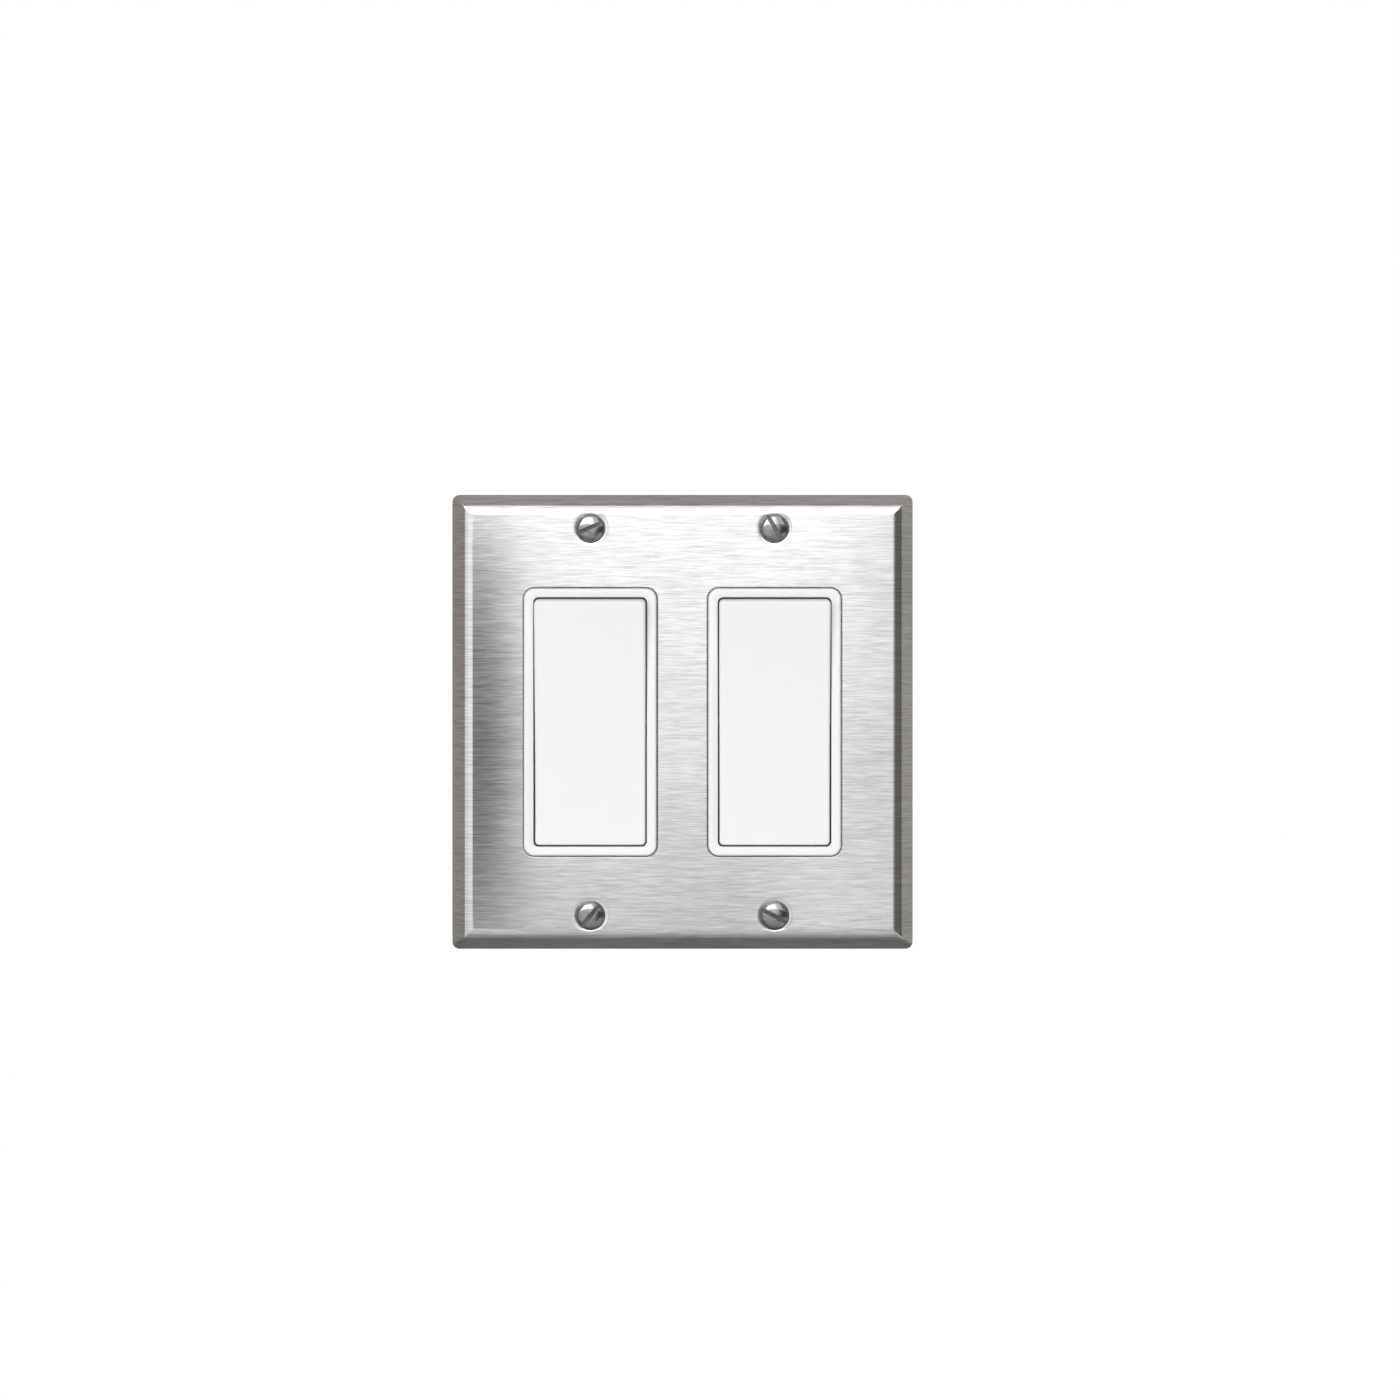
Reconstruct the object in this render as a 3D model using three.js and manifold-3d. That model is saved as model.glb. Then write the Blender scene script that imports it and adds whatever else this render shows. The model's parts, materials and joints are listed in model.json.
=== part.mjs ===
// A two-gang stainless steel wall plate with two decorator rocker switches fitted in it.
// Millimetres: +X is to the right, +Z is up and the front faces -Y. The wall's face is y = 0, so the
// plate and the paddles stand at negative y, and the switch bodies reach into the wall at positive y.
import * as THREE from 'three';
import { mergeVertices } from 'three/addons/utils/BufferGeometryUtils.js';
import Module from 'manifold-3d';

const wasm = await Module();
wasm.setup();

// ---- Driving dimensions -------------------------------------------------------------------------

const PLATE = {
  width: 115.9,
  height: 114.3,
  depth: 5.2,
  sheet: 0.8,
  lip: 0.6, // upright edge at the wall, before the bevel starts
  bevelWidth: 2.4,
  shoulderRadius: 4.0,
  cornerRadius: 1.8,
  innerCorner: 0.3,
  opening: { width: 33.5, height: 67.2, radius: 2.8 },
};
const GANG_SPACING = 46.04; // between the two switches
const PLATE_SCREW_Z = 48.42; // plate screws, above and below the centre
const BOX_SCREW_Z = 41.67; // screws that hold a switch to the wall box

const ROCKER = {
  halfWidth: 13.85,
  endRadius: 30.9, // both end faces are round about the pivot, so their gaps stay even
  edgeY: -5.05, // front edge, measured from the pivot with the paddle level
  dish: 1.6, // how far the face is hollowed at its middle
  faceWall: 1.6,
  skirtWall: 1.3,
  skirtBackY: 1.0,
  corner: 1.1,
  pivotY: -3.0,
  halfTravelDeg: 4, // the paddle rests this far from level, with its lower end pressed in
  pinRadius: 1.4,
  pinEnd: 15.6,
};
const PIVOT_EAR = { halfHeight: 3, backY: 2.0 }; // deeper stretch of skirt that carries a pivot pin
const RIB = { half: 0.6, backY: 0.4 };
const POST = { radius: 3.0, bore: 2.3, backY: 12.0, boreStartY: -1.5 };
const PLUNGER = { stem: 1.3, backY: 6.5, shoulderY: 12.8, taper: 0.8, tipGap: 0.12, sideGap: 0.15 };
const SPRING = { wire: 0.27, coil: 1.72, turns: 5.5, startY: -1.15, endY: 6.1 };

const FRAME = {
  width: 33.1,
  height: 66.7,
  corner: 2.6,
  innerHalfWidth: 14.15,
  innerHalfHeight: 31.1,
  innerCorner: 1.3,
  frontY: -6.5,
  edgeRound: 0.5,
  slotRadius: 1.5,
  slotEnd: 15.75,
};
const SNAP = {
  z: 26,
  halfWidth: 3,
  inner: 14.8,
  outer: 15.8,
  barb: 16.4,
  catchY: 3.9,
  endY: 5.9,
  play: 0.2,
};

const STRAP = {
  thickness: 1.2,
  halfWidth: 19,
  halfHeight: 36,
  tongue: 8, // half width of the strip that carries the screw holes
  earWidth: 16.5,
  earStart: 43.5,
  end: 52.8,
  windowHalfWidth: 14.6,
  windowHalfHeight: 31.9,
  windowCorner: 1.5,
  tappedRadius: 1.78,
  slotRadius: 1.95,
  slotHalfLength: 3.5,
  earHole: 2.0,
  score: { width: 0.5, depth: 0.35 },
};
const GROUND = { z: -16, y: 6.5, tabHalf: 4, tabBackY: 11, holeEndX: -12.5 };

const BODY = {
  halfWidth: 16.6,
  halfHeight: 33,
  depth: 23.5,
  corner: 2.5,
  chamfer: 1.0,
  rimPocket: 1.6, // room for the pressed end of the paddle
  chamber: { halfWidth: 8, halfHeight: 14.6, floorY: 20.3 },
  stop: [6.8, 9.8], // heights between which the arm's upper end comes to rest
  coreGap: 2.2, // wall between the chamber and the moulding pockets
};
const RECESS = { floorX: 13.2, halfHeight: 21, frontY: 5.5, backY: 21.2, rib: 1.2 };

const ARM = { pivotY: 15.5, bendDeg: 12, halfLength: 10.2, halfWidth: 3, thickness: 0.8 };
const RIVET_SIDES = 12;
const CONTACT = { z: -8.5, radius: 1.7, height: 0.9, shank: 0.7, tail: 1.05, tailHeight: 0.3 };
const TERMINAL = {
  thickness: 1.0,
  screwY: 13.5,
  screwZ: 13,
  plateFrontY: 7.0,
  plateEndZ: 19,
  screwEndX: 9.2,
  load: { startX: -3.2, strip: [-11.6, -6], sideZ: -2 },
  common: { startX: -4.8, strip: [-3.2, 5.4], sideZ: 2 },
};
const SADDLE = { ridge: 2.6, crest: 0.25, cheekBase: 3, cheekTop: 1.6, cheekRise: 2.2, gap: 0.3, wall: 1 };
const AIR = 0.05; // between pieces that touch on the real switch
const LOOSE = 0.1; // between a piece and the pocket that it drops into
const WIDE = 0.3; // between a piece and a pocket that it only passes through
const PAST = 1; // how far a cutting tool runs past the piece that it cuts

const DIMPLE = { seat: 3.65, hole: 2.0 };
const PLATE_SCREW = { head: 3.5, dome: 1.4, cone: 1.75, shank: 1.65, length: 11.4, slot: 1.1, cut: 0.95 };
const BOX_SCREW = { head: 3.55, dome: 1.9, shank: 1.7, length: 19, slot: 1.0, cut: 0.8 };
const TERMINAL_SCREW = { head: 3.5, dome: 2.1, shank: 1.75, length: 4.6, slot: 1.0, cut: 0.9 };
const GROUND_SCREW = { head: 3.8, dome: 2.0, shank: 1.7, length: 4.8, slot: 1.0, cut: 0.9 };
const WASHER = { halfWidth: 4.6, halfHeight: 3.9, corner: 1.2, thickness: 0.7, hole: 1.74 };

const PLATE_SCREWS = [
  // name, side, height, turn of the slot from level, anticlockwise from the front
  { name: 'top_left_plate_screw', side: -1, up: 1, turnDeg: 22 },
  { name: 'top_right_plate_screw', side: 1, up: 1, turnDeg: -61 },
  { name: 'bottom_left_plate_screw', side: -1, up: -1, turnDeg: 50 },
  { name: 'bottom_right_plate_screw', side: 1, up: -1, turnDeg: -27 },
];
const SWITCHES = [
  { name: 'left', x: -GANG_SPACING / 2 },
  { name: 'right', x: GANG_SPACING / 2 },
];

// ---- Materials ----------------------------------------------------------------------------------

function material(color, roughness, metalness) {
  return new THREE.MeshStandardMaterial({ color, roughness, metalness });
}

const STAINLESS = material(0xc9c7c4, 0.38, 1);
const POLISHED = material(0xd8d6d2, 0.15, 1);
const WHITE_PLASTIC = material(0xf4f4f2, 0.3, 0);
const BODY_PLASTIC = material(0xb9bcbe, 0.55, 0);
const ACETAL = material(0xe8e4d8, 0.45, 0);
const ZINC = material(0xb8babb, 0.4, 1);
const BRASS = material(0xc9a24e, 0.3, 1);
const SILVER = material(0xe2e2e0, 0.25, 1);
const SPRING_STEEL = material(0x9fa1a3, 0.3, 1);
const GREEN = material(0x2f7d4a, 0.4, 0.3);
const FIBRE = material(0xc8b48a, 0.8, 0);

// ---- Solids -------------------------------------------------------------------------------------

const radians = THREE.MathUtils.degToRad;

/** The closed solid inside a three.js geometry. */
function solid(geometry) {
  const bare = geometry.clone();
  bare.deleteAttribute('normal');
  bare.deleteAttribute('uv');
  const merged = mergeVertices(bare);
  const triVerts = Uint32Array.from(merged.index.array);
  const vertProperties = merged.attributes.position.array;
  return new wasm.Manifold(new wasm.Mesh({ numProp: 3, vertProperties, triVerts }));
}

function join(first, ...others) {
  return others.reduce((sum, other) => sum.add(other), first);
}

function cut(first, ...tools) {
  return tools.reduce((rest, tool) => rest.subtract(tool), first);
}

/** A pair of numbers, lower one first. */
function span(a, b) {
  return a < b ? [a, b] : [b, a];
}

function block([x0, x1], [y0, y1], [z0, z1]) {
  const box = new THREE.BoxGeometry(x1 - x0, y1 - y0, z1 - z0);
  return solid(box.translate((x0 + x1) / 2, (y0 + y1) / 2, (z0 + z1) / 2));
}

function rodY(radius, [y0, y1], x, z, sides = 16) {
  const rod = new THREE.CylinderGeometry(radius, radius, y1 - y0, sides);
  return solid(rod.translate(x, (y0 + y1) / 2, z));
}

function rodX(radius, [x0, x1], y, z, sides = 16) {
  const rod = new THREE.CylinderGeometry(radius, radius, x1 - x0, sides);
  return solid(rod.rotateZ(Math.PI / 2).translate((x0 + x1) / 2, y, z));
}

/** An outline in x and z, carried from y0 to y1. */
function slab(shape, [y0, y1], curveSegments = 5) {
  const options = { depth: y1 - y0, bevelEnabled: false, curveSegments };
  const prism = new THREE.ExtrudeGeometry(shape, options);
  return solid(prism.rotateX(Math.PI / 2).translate(0, y1, 0));
}

/** An outline of [y, z] points, carried from x0 to x1. */
function bar(points, [x0, x1]) {
  const shape = new THREE.Shape(points.map(([y, z]) => new THREE.Vector2(y, z)));
  const prism = new THREE.ExtrudeGeometry(shape, { depth: x1 - x0, bevelEnabled: false });
  const axes = new THREE.Matrix4().makeBasis(
    new THREE.Vector3(0, 1, 0),
    new THREE.Vector3(0, 0, 1),
    new THREE.Vector3(1, 0, 0),
  );
  return solid(prism.applyMatrix4(axes).translate(x0, 0, 0));
}

/** Points round a rectangle with round corners, anticlockwise from the front. */
function roundedOutline(halfX, halfZ, radius, steps = 3) {
  const corners = [[1, 1], [-1, 1], [-1, -1], [1, -1]];
  return corners.flatMap(([sx, sz], corner) =>
    Array.from({ length: steps + 1 }, (_, step) => {
      const angle = ((corner + step / steps) * Math.PI) / 2;
      const x = sx * (halfX - radius) + radius * Math.cos(angle);
      const z = sz * (halfZ - radius) + radius * Math.sin(angle);
      return new THREE.Vector2(x, z);
    }),
  );
}

function roundedShape(halfX, halfZ, radius, x = 0, z = 0) {
  const points = roundedOutline(halfX, halfZ, radius);
  return new THREE.Shape(points.map((point) => point.add(new THREE.Vector2(x, z))));
}

/** A form through rounded rectangles { y, halfX, halfZ, radius }, listed from the back forwards. */
function loft(sections) {
  const rings = sections.map(({ halfX, halfZ, radius }) => roundedOutline(halfX, halfZ, radius));
  const count = rings[0].length;
  const positions = rings.flatMap((ring, k) => ring.flatMap(({ x, y }) => [x, sections[k].y, y]));
  const backCentre = rings.length * count;
  const frontCentre = backCentre + 1;
  positions.push(0, sections[0].y, 0, 0, sections.at(-1).y, 0);
  const index = [];
  for (let i = 0; i < count; i++) {
    const next = (i + 1) % count;
    const front = (rings.length - 1) * count;
    index.push(backCentre, next, i, frontCentre, front + i, front + next);
    for (let k = 0; k + 1 < rings.length; k++) {
      const here = k * count;
      const there = here + count;
      index.push(here + i, here + next, there + next, here + i, there + next, there + i);
    }
  }
  const form = new THREE.BufferGeometry();
  form.setAttribute('position', new THREE.Float32BufferAttribute(positions, 3));
  form.setIndex(index);
  return solid(form);
}

/** A turned solid about the y axis, from [radius, y] points that start and end on the axis. */
function turned(points, sides = 16) {
  return solid(new THREE.LatheGeometry(points.map(([r, y]) => new THREE.Vector2(r, y)), sides));
}

function piece(name, form, finish) {
  const { vertProperties, triVerts } = form.getMesh();
  const geometry = new THREE.BufferGeometry();
  geometry.setAttribute('position', new THREE.BufferAttribute(vertProperties, 3));
  geometry.setIndex(new THREE.BufferAttribute(triVerts, 1));
  geometry.computeVertexNormals();
  const mesh = new THREE.Mesh(geometry, finish);
  mesh.name = name;
  return mesh;
}

// ---- Screws -------------------------------------------------------------------------------------

/** A domed head with its rim at y = 0 and its shank towards +y, with a straight slot along x. */
function slottedScrew({ head, dome, cone = 0, shank, length, slot, cut: depth }) {
  const crown = [0, 0.35, 0.7, 1].map((share) => {
    const angle = (share * Math.PI) / 2;
    return [head * Math.sin(angle), -dome * Math.cos(angle)];
  });
  const tip = 0.5;
  const points = [
    ...crown,
    [shank, cone],
    [shank, length - tip],
    [shank - tip, length],
    [0, length],
  ];
  const form = turned(points);
  const groove = block([-head - PAST, head + PAST], [-dome - PAST, depth - dome], [-slot / 2, slot / 2]);
  return cut(form, groove);
}

function plateScrews() {
  const group = new THREE.Group();
  for (const { name, side, up, turnDeg } of PLATE_SCREWS) {
    const screw = piece(name, slottedScrew(PLATE_SCREW), POLISHED);
    screw.position.set((side * GANG_SPACING) / 2, -PLATE.depth - AIR, up * PLATE_SCREW_Z);
    screw.rotation.y = -radians(turnDeg);
    group.add(screw);
  }
  return group;
}

// ---- Wall plate ---------------------------------------------------------------------------------

/** The pressed form: an upright lip, a bevel and a rounded shoulder up to the flat face. */
function plateForm(inset, depth) {
  const faceInset = PLATE.bevelWidth;
  const rise = PLATE.depth - PLATE.lip;
  // The bevel meets the shoulder's arc at the angle where both have the same slope.
  let slope = radians(50);
  for (let i = 0; i < 8; i++) {
    slope = Math.atan((rise - PLATE.shoulderRadius * (1 - Math.cos(slope))) / faceInset);
  }
  const drop = PLATE.depth - depth;
  const at = (distance, y) => ({
    y: y + drop,
    halfX: PLATE.width / 2 - inset - distance,
    halfZ: PLATE.height / 2 - inset - distance,
    radius: Math.max(PLATE.innerCorner, PLATE.cornerRadius - inset - distance),
  });
  const arcSteps = 3;
  const shoulder = Array.from({ length: arcSteps + 1 }, (_, step) => {
    const angle = slope * (1 - step / arcSteps);
    const along = PLATE.shoulderRadius * (Math.sin(slope) - Math.sin(angle));
    return at(faceInset + along, -PLATE.depth + PLATE.shoulderRadius * (1 - Math.cos(angle)));
  });
  return [at(0, 0), at(0, -PLATE.lip), ...shoulder];
}

function wallPlate() {
  const outside = plateForm(0, PLATE.depth);
  const inside = plateForm(PLATE.sheet, PLATE.depth - PLATE.sheet);
  inside[0].y = PAST; // the back is open
  let plate = cut(loft(outside), loft(inside));
  const { head, cone, shank } = PLATE_SCREW;
  const { seat, hole } = DIMPLE;
  const face = -PLATE.depth;
  const seatDepth = (cone * (seat - hole)) / (head - shank);
  const sides = 24;
  for (const { side, up } of PLATE_SCREWS) {
    const x = (side * GANG_SPACING) / 2;
    const z = up * PLATE_SCREW_Z;
    const wall = PLATE.sheet;
    const dimple = new THREE.CylinderGeometry(hole + wall, seat + wall, seatDepth, sides);
    const sink = new THREE.CylinderGeometry(hole, seat, seatDepth, sides);
    const middle = face + seatDepth / 2;
    plate = plate.add(solid(dimple.translate(x, middle + wall / 2, z)));
    plate = cut(
      plate,
      solid(sink.translate(x, middle, z)),
      rodY(seat, [face - PAST, face], x, z, sides),
      rodY(hole, [face, PAST], x, z, sides),
    );
  }
  const { width, height, radius } = PLATE.opening;
  for (const { x } of SWITCHES) {
    plate = cut(plate, slab(roundedShape(width / 2, height / 2, radius, x), [face - PAST, PAST]));
  }
  return piece('wall_plate', plate, STAINLESS);
}

// ---- Paddle, plunger and spring -----------------------------------------------------------------

/** The space behind a dished face whose middle is at faceY, as a slab reaching back to backY. */
function behindDish(faceY, backY, halfHeight) {
  const steps = 8;
  const front = Array.from({ length: steps + 1 }, (_, step) => {
    const share = (2 * step) / steps - 1;
    return [faceY - ROCKER.dish * share * share, share * halfHeight];
  });
  const width = ROCKER.halfWidth + PAST;
  return bar([[backY, -halfHeight], ...front, [backY, halfHeight]].reverse(), [-width, width]);
}

function rockerForm() {
  const { halfWidth, endRadius, edgeY, dish, faceWall, skirtWall, skirtBackY, corner } = ROCKER;
  const shellAt = (wall) => (y) => ({
    y,
    halfX: halfWidth - wall,
    halfZ: Math.sqrt((endRadius - wall) ** 2 - y * y),
    radius: Math.max(0.4, corner - wall),
  });
  const levels = [2.4, 0.7, -1.2, -3.2, edgeY - 0.2];
  const outer = loft(levels.map(shellAt(0)));
  const inner = loft(levels.map(shellAt(skirtWall)));
  const reach = endRadius + PAST;
  const outerSlab = behindDish(edgeY + dish, skirtBackY, reach);
  const innerSlab = behindDish(edgeY + dish + faceWall, skirtBackY + PAST, reach);
  let form = outer.intersect(outerSlab).subtract(inner.intersect(innerSlab));

  const inside = halfWidth - skirtWall;
  const { halfHeight, backY } = PIVOT_EAR;
  for (const side of [-1, 1]) {
    const ear = block(span(side * inside, side * halfWidth), [0, backY], [-halfHeight, halfHeight]);
    const pin = rodX(ROCKER.pinRadius, span(side * inside, side * ROCKER.pinEnd), 0, 0);
    form = join(form, ear, pin);
  }
  const ribFrontY = edgeY + dish + faceWall / 2;
  const ribReach = halfWidth - skirtWall / 2;
  form = join(
    form,
    block([-ribReach, ribReach], [ribFrontY, RIB.backY], [-RIB.half, RIB.half]),
    block([-RIB.half, RIB.half], [ribFrontY, -RIB.backY], [-endRadius / 2, endRadius / 2]),
    rodY(POST.radius, [ribFrontY, POST.backY], 0, 0),
  );
  return cut(form, rodY(POST.bore, [POST.boreStartY, POST.backY + PAST], 0, 0));
}

function plungerForm() {
  const { stem, backY, shoulderY, taper, tipGap, sideGap } = PLUNGER;
  const tipY = ARM.pivotY - ARM.thickness - tipGap - ROCKER.pivotY;
  const headRadius = POST.bore - sideGap;
  const steps = 4;
  const nose = Array.from({ length: steps + 1 }, (_, step) => {
    const angle = (step / steps) * (Math.PI / 2);
    return [stem * Math.cos(angle), tipY - stem + stem * Math.sin(angle)];
  });
  nose[steps][0] = 0;
  const head = [[0, backY], [headRadius, backY], [headRadius, shoulderY], [stem, shoulderY + taper]];
  return turned([...head, ...nose]);
}

class Helix extends THREE.Curve {
  constructor(radius, startY, endY, turns) {
    super();
    Object.assign(this, { radius, startY, endY, turns });
  }

  getPoint(share, target = new THREE.Vector3()) {
    const angle = share * this.turns * 2 * Math.PI;
    const y = THREE.MathUtils.lerp(this.startY, this.endY, share);
    return target.set(this.radius * Math.cos(angle), y, this.radius * Math.sin(angle));
  }
}

function springForm() {
  const { wire, coil, turns, startY, endY } = SPRING;
  const path = new Helix(coil, startY, endY, turns);
  const sides = 5;
  const stepsPerTurn = 10;
  const section = new THREE.Shape(
    Array.from({ length: sides }, (_, i) => {
      const angle = (i * 2 * Math.PI) / sides;
      return new THREE.Vector2(wire * Math.cos(angle), wire * Math.sin(angle));
    }),
  );
  const steps = Math.round(turns * stepsPerTurn);
  return solid(new THREE.ExtrudeGeometry(section, { extrudePath: path, steps, bevelEnabled: false }));
}

function paddle(side) {
  const group = new THREE.Group();
  group.position.y = ROCKER.pivotY;
  group.rotation.x = radians(ROCKER.halfTravelDeg);
  group.add(
    piece(`${side}_rocker`, rockerForm(), WHITE_PLASTIC),
    piece(`${side}_plunger`, plungerForm(), ACETAL),
    piece(`${side}_snap_spring`, springForm(), SPRING_STEEL),
  );
  return group;
}

// ---- Face frame ---------------------------------------------------------------------------------

function faceFrameForm() {
  const { width, height, corner, innerHalfWidth, innerHalfHeight, innerCorner } = FRAME;
  const { frontY, edgeRound, slotRadius, slotEnd } = FRAME;
  const backY = -STRAP.thickness - AIR;
  const outer = (y, inset) => ({
    y,
    halfX: width / 2 - inset,
    halfZ: height / 2 - inset,
    radius: corner - inset,
  });
  const inner = (y, spread) => ({
    y,
    halfX: innerHalfWidth + spread,
    halfZ: innerHalfHeight + spread,
    radius: innerCorner + spread,
  });
  let form = cut(
    loft([outer(backY, 0), outer(frontY + edgeRound, 0), outer(frontY, edgeRound)]),
    loft([inner(0, 0), inner(frontY + edgeRound, 0), inner(frontY - AIR, edgeRound / 2)]),
  );
  const pivot = ROCKER.pivotY;
  form = cut(
    form,
    rodX(slotRadius, [-slotEnd, slotEnd], pivot, 0),
    block([-slotEnd, slotEnd], [pivot, 0], [-slotRadius, slotRadius]),
  );
  for (const side of [-1, 1]) {
    for (const up of [-1, 1]) {
      const leg = [
        [SNAP.inner, backY - PAST],
        [SNAP.outer, backY - PAST],
        [SNAP.outer, SNAP.catchY + AIR],
        [SNAP.barb, SNAP.catchY + AIR],
        [SNAP.outer, SNAP.endY],
        [SNAP.inner, SNAP.endY],
      ];
      const outline = new THREE.Shape(leg.map(([x, y]) => new THREE.Vector2(side * x, y)));
      const options = { depth: 2 * SNAP.halfWidth, bevelEnabled: false };
      const prism = new THREE.ExtrudeGeometry(outline, options);
      form = form.add(solid(prism.translate(0, 0, up * SNAP.z - SNAP.halfWidth)));
    }
  }
  return form;
}

// ---- Strap --------------------------------------------------------------------------------------

function strapOutline() {
  const { halfWidth, halfHeight, tongue, earWidth, earStart, end } = STRAP;
  const quarter = [
    [halfWidth, halfHeight],
    [tongue, halfHeight],
    [tongue, earStart],
    [earWidth, earStart],
    [earWidth, end],
  ];
  const top = [...quarter, ...quarter.map(([x, z]) => [-x, z]).reverse()];
  const bottom = top.map(([x, z]) => [-x, -z]);
  return new THREE.Shape([...top, ...bottom].map(([x, z]) => new THREE.Vector2(x, z)));
}

function strapForm() {
  const { thickness, windowHalfWidth, windowHalfHeight, windowCorner, score } = STRAP;
  const through = [-thickness - PAST, PAST];
  let form = slab(strapOutline(), [-thickness, 0]);
  form = cut(form, slab(roundedShape(windowHalfWidth, windowHalfHeight, windowCorner), through));
  for (const up of [-1, 1]) {
    const slotZ = up * BOX_SCREW_Z;
    const reach = STRAP.slotHalfLength - STRAP.slotRadius;
    form = cut(
      form,
      rodY(STRAP.tappedRadius, through, 0, up * PLATE_SCREW_Z),
      rodY(STRAP.slotRadius, through, -reach, slotZ),
      rodY(STRAP.slotRadius, through, reach, slotZ),
      block([-reach, reach], through, [slotZ - STRAP.slotRadius, slotZ + STRAP.slotRadius]),
    );
    const notch = SNAP.halfWidth + WIDE;
    const notchX = SNAP.outer + WIDE;
    form = cut(form, block([-notchX, notchX], through, [up * SNAP.z - notch, up * SNAP.z + notch]));
    for (const side of [-1, 1]) {
      const grooveX = side * (STRAP.tongue + score.width);
      const groove = [grooveX - score.width / 2, grooveX + score.width / 2];
      const earX = (side * (STRAP.tongue + STRAP.earWidth)) / 2;
      const ends = span(up * (STRAP.earStart - PAST), up * (STRAP.end + PAST));
      form = cut(
        form,
        block(groove, [-score.depth, PAST], ends),
        rodY(STRAP.earHole, through, earX, up * PLATE_SCREW_Z),
      );
    }
  }
  const { z, y, tabHalf, tabBackY } = GROUND;
  const tabX = [-STRAP.halfWidth, -STRAP.halfWidth + thickness];
  return form
    .add(block(tabX, [-thickness, tabBackY], [z - tabHalf, z + tabHalf]))
    .subtract(rodX(GROUND_SCREW.shank + LOOSE, [tabX[0] - PAST, tabX[1] + PAST], y, z));
}

// ---- Back body ----------------------------------------------------------------------------------

function backBodyForm() {
  const { halfWidth, halfHeight, depth, corner, chamfer, rimPocket, chamber, coreGap, stop } = BODY;
  const outer = (y, inset) => ({
    y,
    halfX: halfWidth - inset,
    halfZ: halfHeight - inset,
    radius: corner,
  });
  let form = loft([outer(depth, chamfer), outer(depth - chamfer, 0), outer(AIR, 0)]);
  const { windowHalfWidth, windowHalfHeight, windowCorner } = STRAP;
  const rim = roundedShape(windowHalfWidth - SNAP.play, windowHalfHeight - SNAP.play, windowCorner);
  form = cut(
    form,
    slab(rim, [-PAST, rimPocket]),
    block(
      [-chamber.halfWidth, chamber.halfWidth],
      [0, chamber.floorY],
      [-chamber.halfHeight, chamber.halfHeight],
    ),
  );

  // Moulding pockets above and below the chamber keep the walls thin.
  const pocketStart = chamber.halfHeight + coreGap;
  const pocketEnd = halfHeight - 2 * coreGap;
  const pocketHalf = RECESS.floorX - coreGap;
  const catchHalf = SNAP.halfWidth + WIDE;
  const catchEndY = SNAP.endY + WIDE;
  for (const up of [-1, 1]) {
    const pocket = span(up * pocketStart, up * pocketEnd);
    form = cut(form, block([-pocketHalf, pocketHalf], [0, chamber.floorY], pocket));
    const heights = [up * SNAP.z - catchHalf, up * SNAP.z + catchHalf];
    for (const side of [-1, 1]) {
      const inner = side * (SNAP.inner - SNAP.play);
      const channel = span(inner, side * (SNAP.outer + SNAP.play));
      const catchWindow = span(inner, side * (halfWidth + PAST));
      form = cut(
        form,
        block(channel, [-PAST, catchEndY], heights),
        block(catchWindow, [SNAP.catchY, catchEndY], heights),
      );
    }
  }

  // Terminal side: a long recess with a rib that keeps the two terminals apart.
  const outside = halfWidth + PAST;
  const screwHole = [TERMINAL.screwEndX, outside];
  for (const up of [-1, 1]) {
    const recess = span(up * RECESS.rib, up * RECESS.halfHeight);
    form = cut(
      form,
      block([RECESS.floorX, outside], [RECESS.frontY, RECESS.backY], recess),
      rodX(TERMINAL_SCREW.shank + WIDE, screwHole, TERMINAL.screwY, up * TERMINAL.screwZ),
    );
  }
  for (const { strip } of [loadTerminal(), commonTerminal()]) {
    const [, y, z] = strip;
    form = cut(form, block([0, outside], [y[0] - LOOSE, y[1] + LOOSE], [z[0] - LOOSE, z[1] + LOOSE]));
  }
  form = cut(form, rodX(GROUND_SCREW.shank + WIDE, [-outside, GROUND.holeEndX], GROUND.y, GROUND.z));
  const stopDepth = [ARM.pivotY + LOOSE, chamber.floorY + LOOSE];
  return form.add(block([-ARM.halfWidth, ARM.halfWidth], stopDepth, stop));
}

// ---- Contacts and terminals ---------------------------------------------------------------------

/** The see-saw arm about its pivot: its lower wing lies along z and its upper wing is bent forwards. */
function contactArmForm() {
  const { bendDeg, halfLength, halfWidth, thickness } = ARM;
  const bend = radians(bendDeg);
  const upper = (distance, lift) => [
    -distance * Math.sin(bend) - lift * Math.cos(bend),
    distance * Math.cos(bend) - lift * Math.sin(bend),
  ];
  const elbow = thickness * Math.tan(bend / 2);
  const outline = [
    [0, -halfLength],
    [0, 0],
    upper(halfLength, 0),
    upper(halfLength, thickness),
    [-thickness, -elbow],
    [-thickness, -halfLength],
  ];
  return bar(outline, [-halfWidth, halfWidth]).subtract(rivetHole([-thickness - PAST, PAST]));
}

/** The arm and its contact, tipped open: the upper wing lies back and the contact stands clear. */
function contactLever(side) {
  const group = new THREE.Group();
  group.position.y = ARM.pivotY;
  group.rotation.x = -radians(ARM.bendDeg);
  group.add(
    piece(`${side}_contact_arm`, contactArmForm(), BRASS),
    piece(`${side}_moving_contact`, contactForm(MOVING_FACE, -1, ARM.thickness), SILVER),
  );
  return group;
}

function rivetHole(through) {
  return rodY(CONTACT.shank + LOOSE, through, 0, CONTACT.z, RIVET_SIDES);
}

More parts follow.
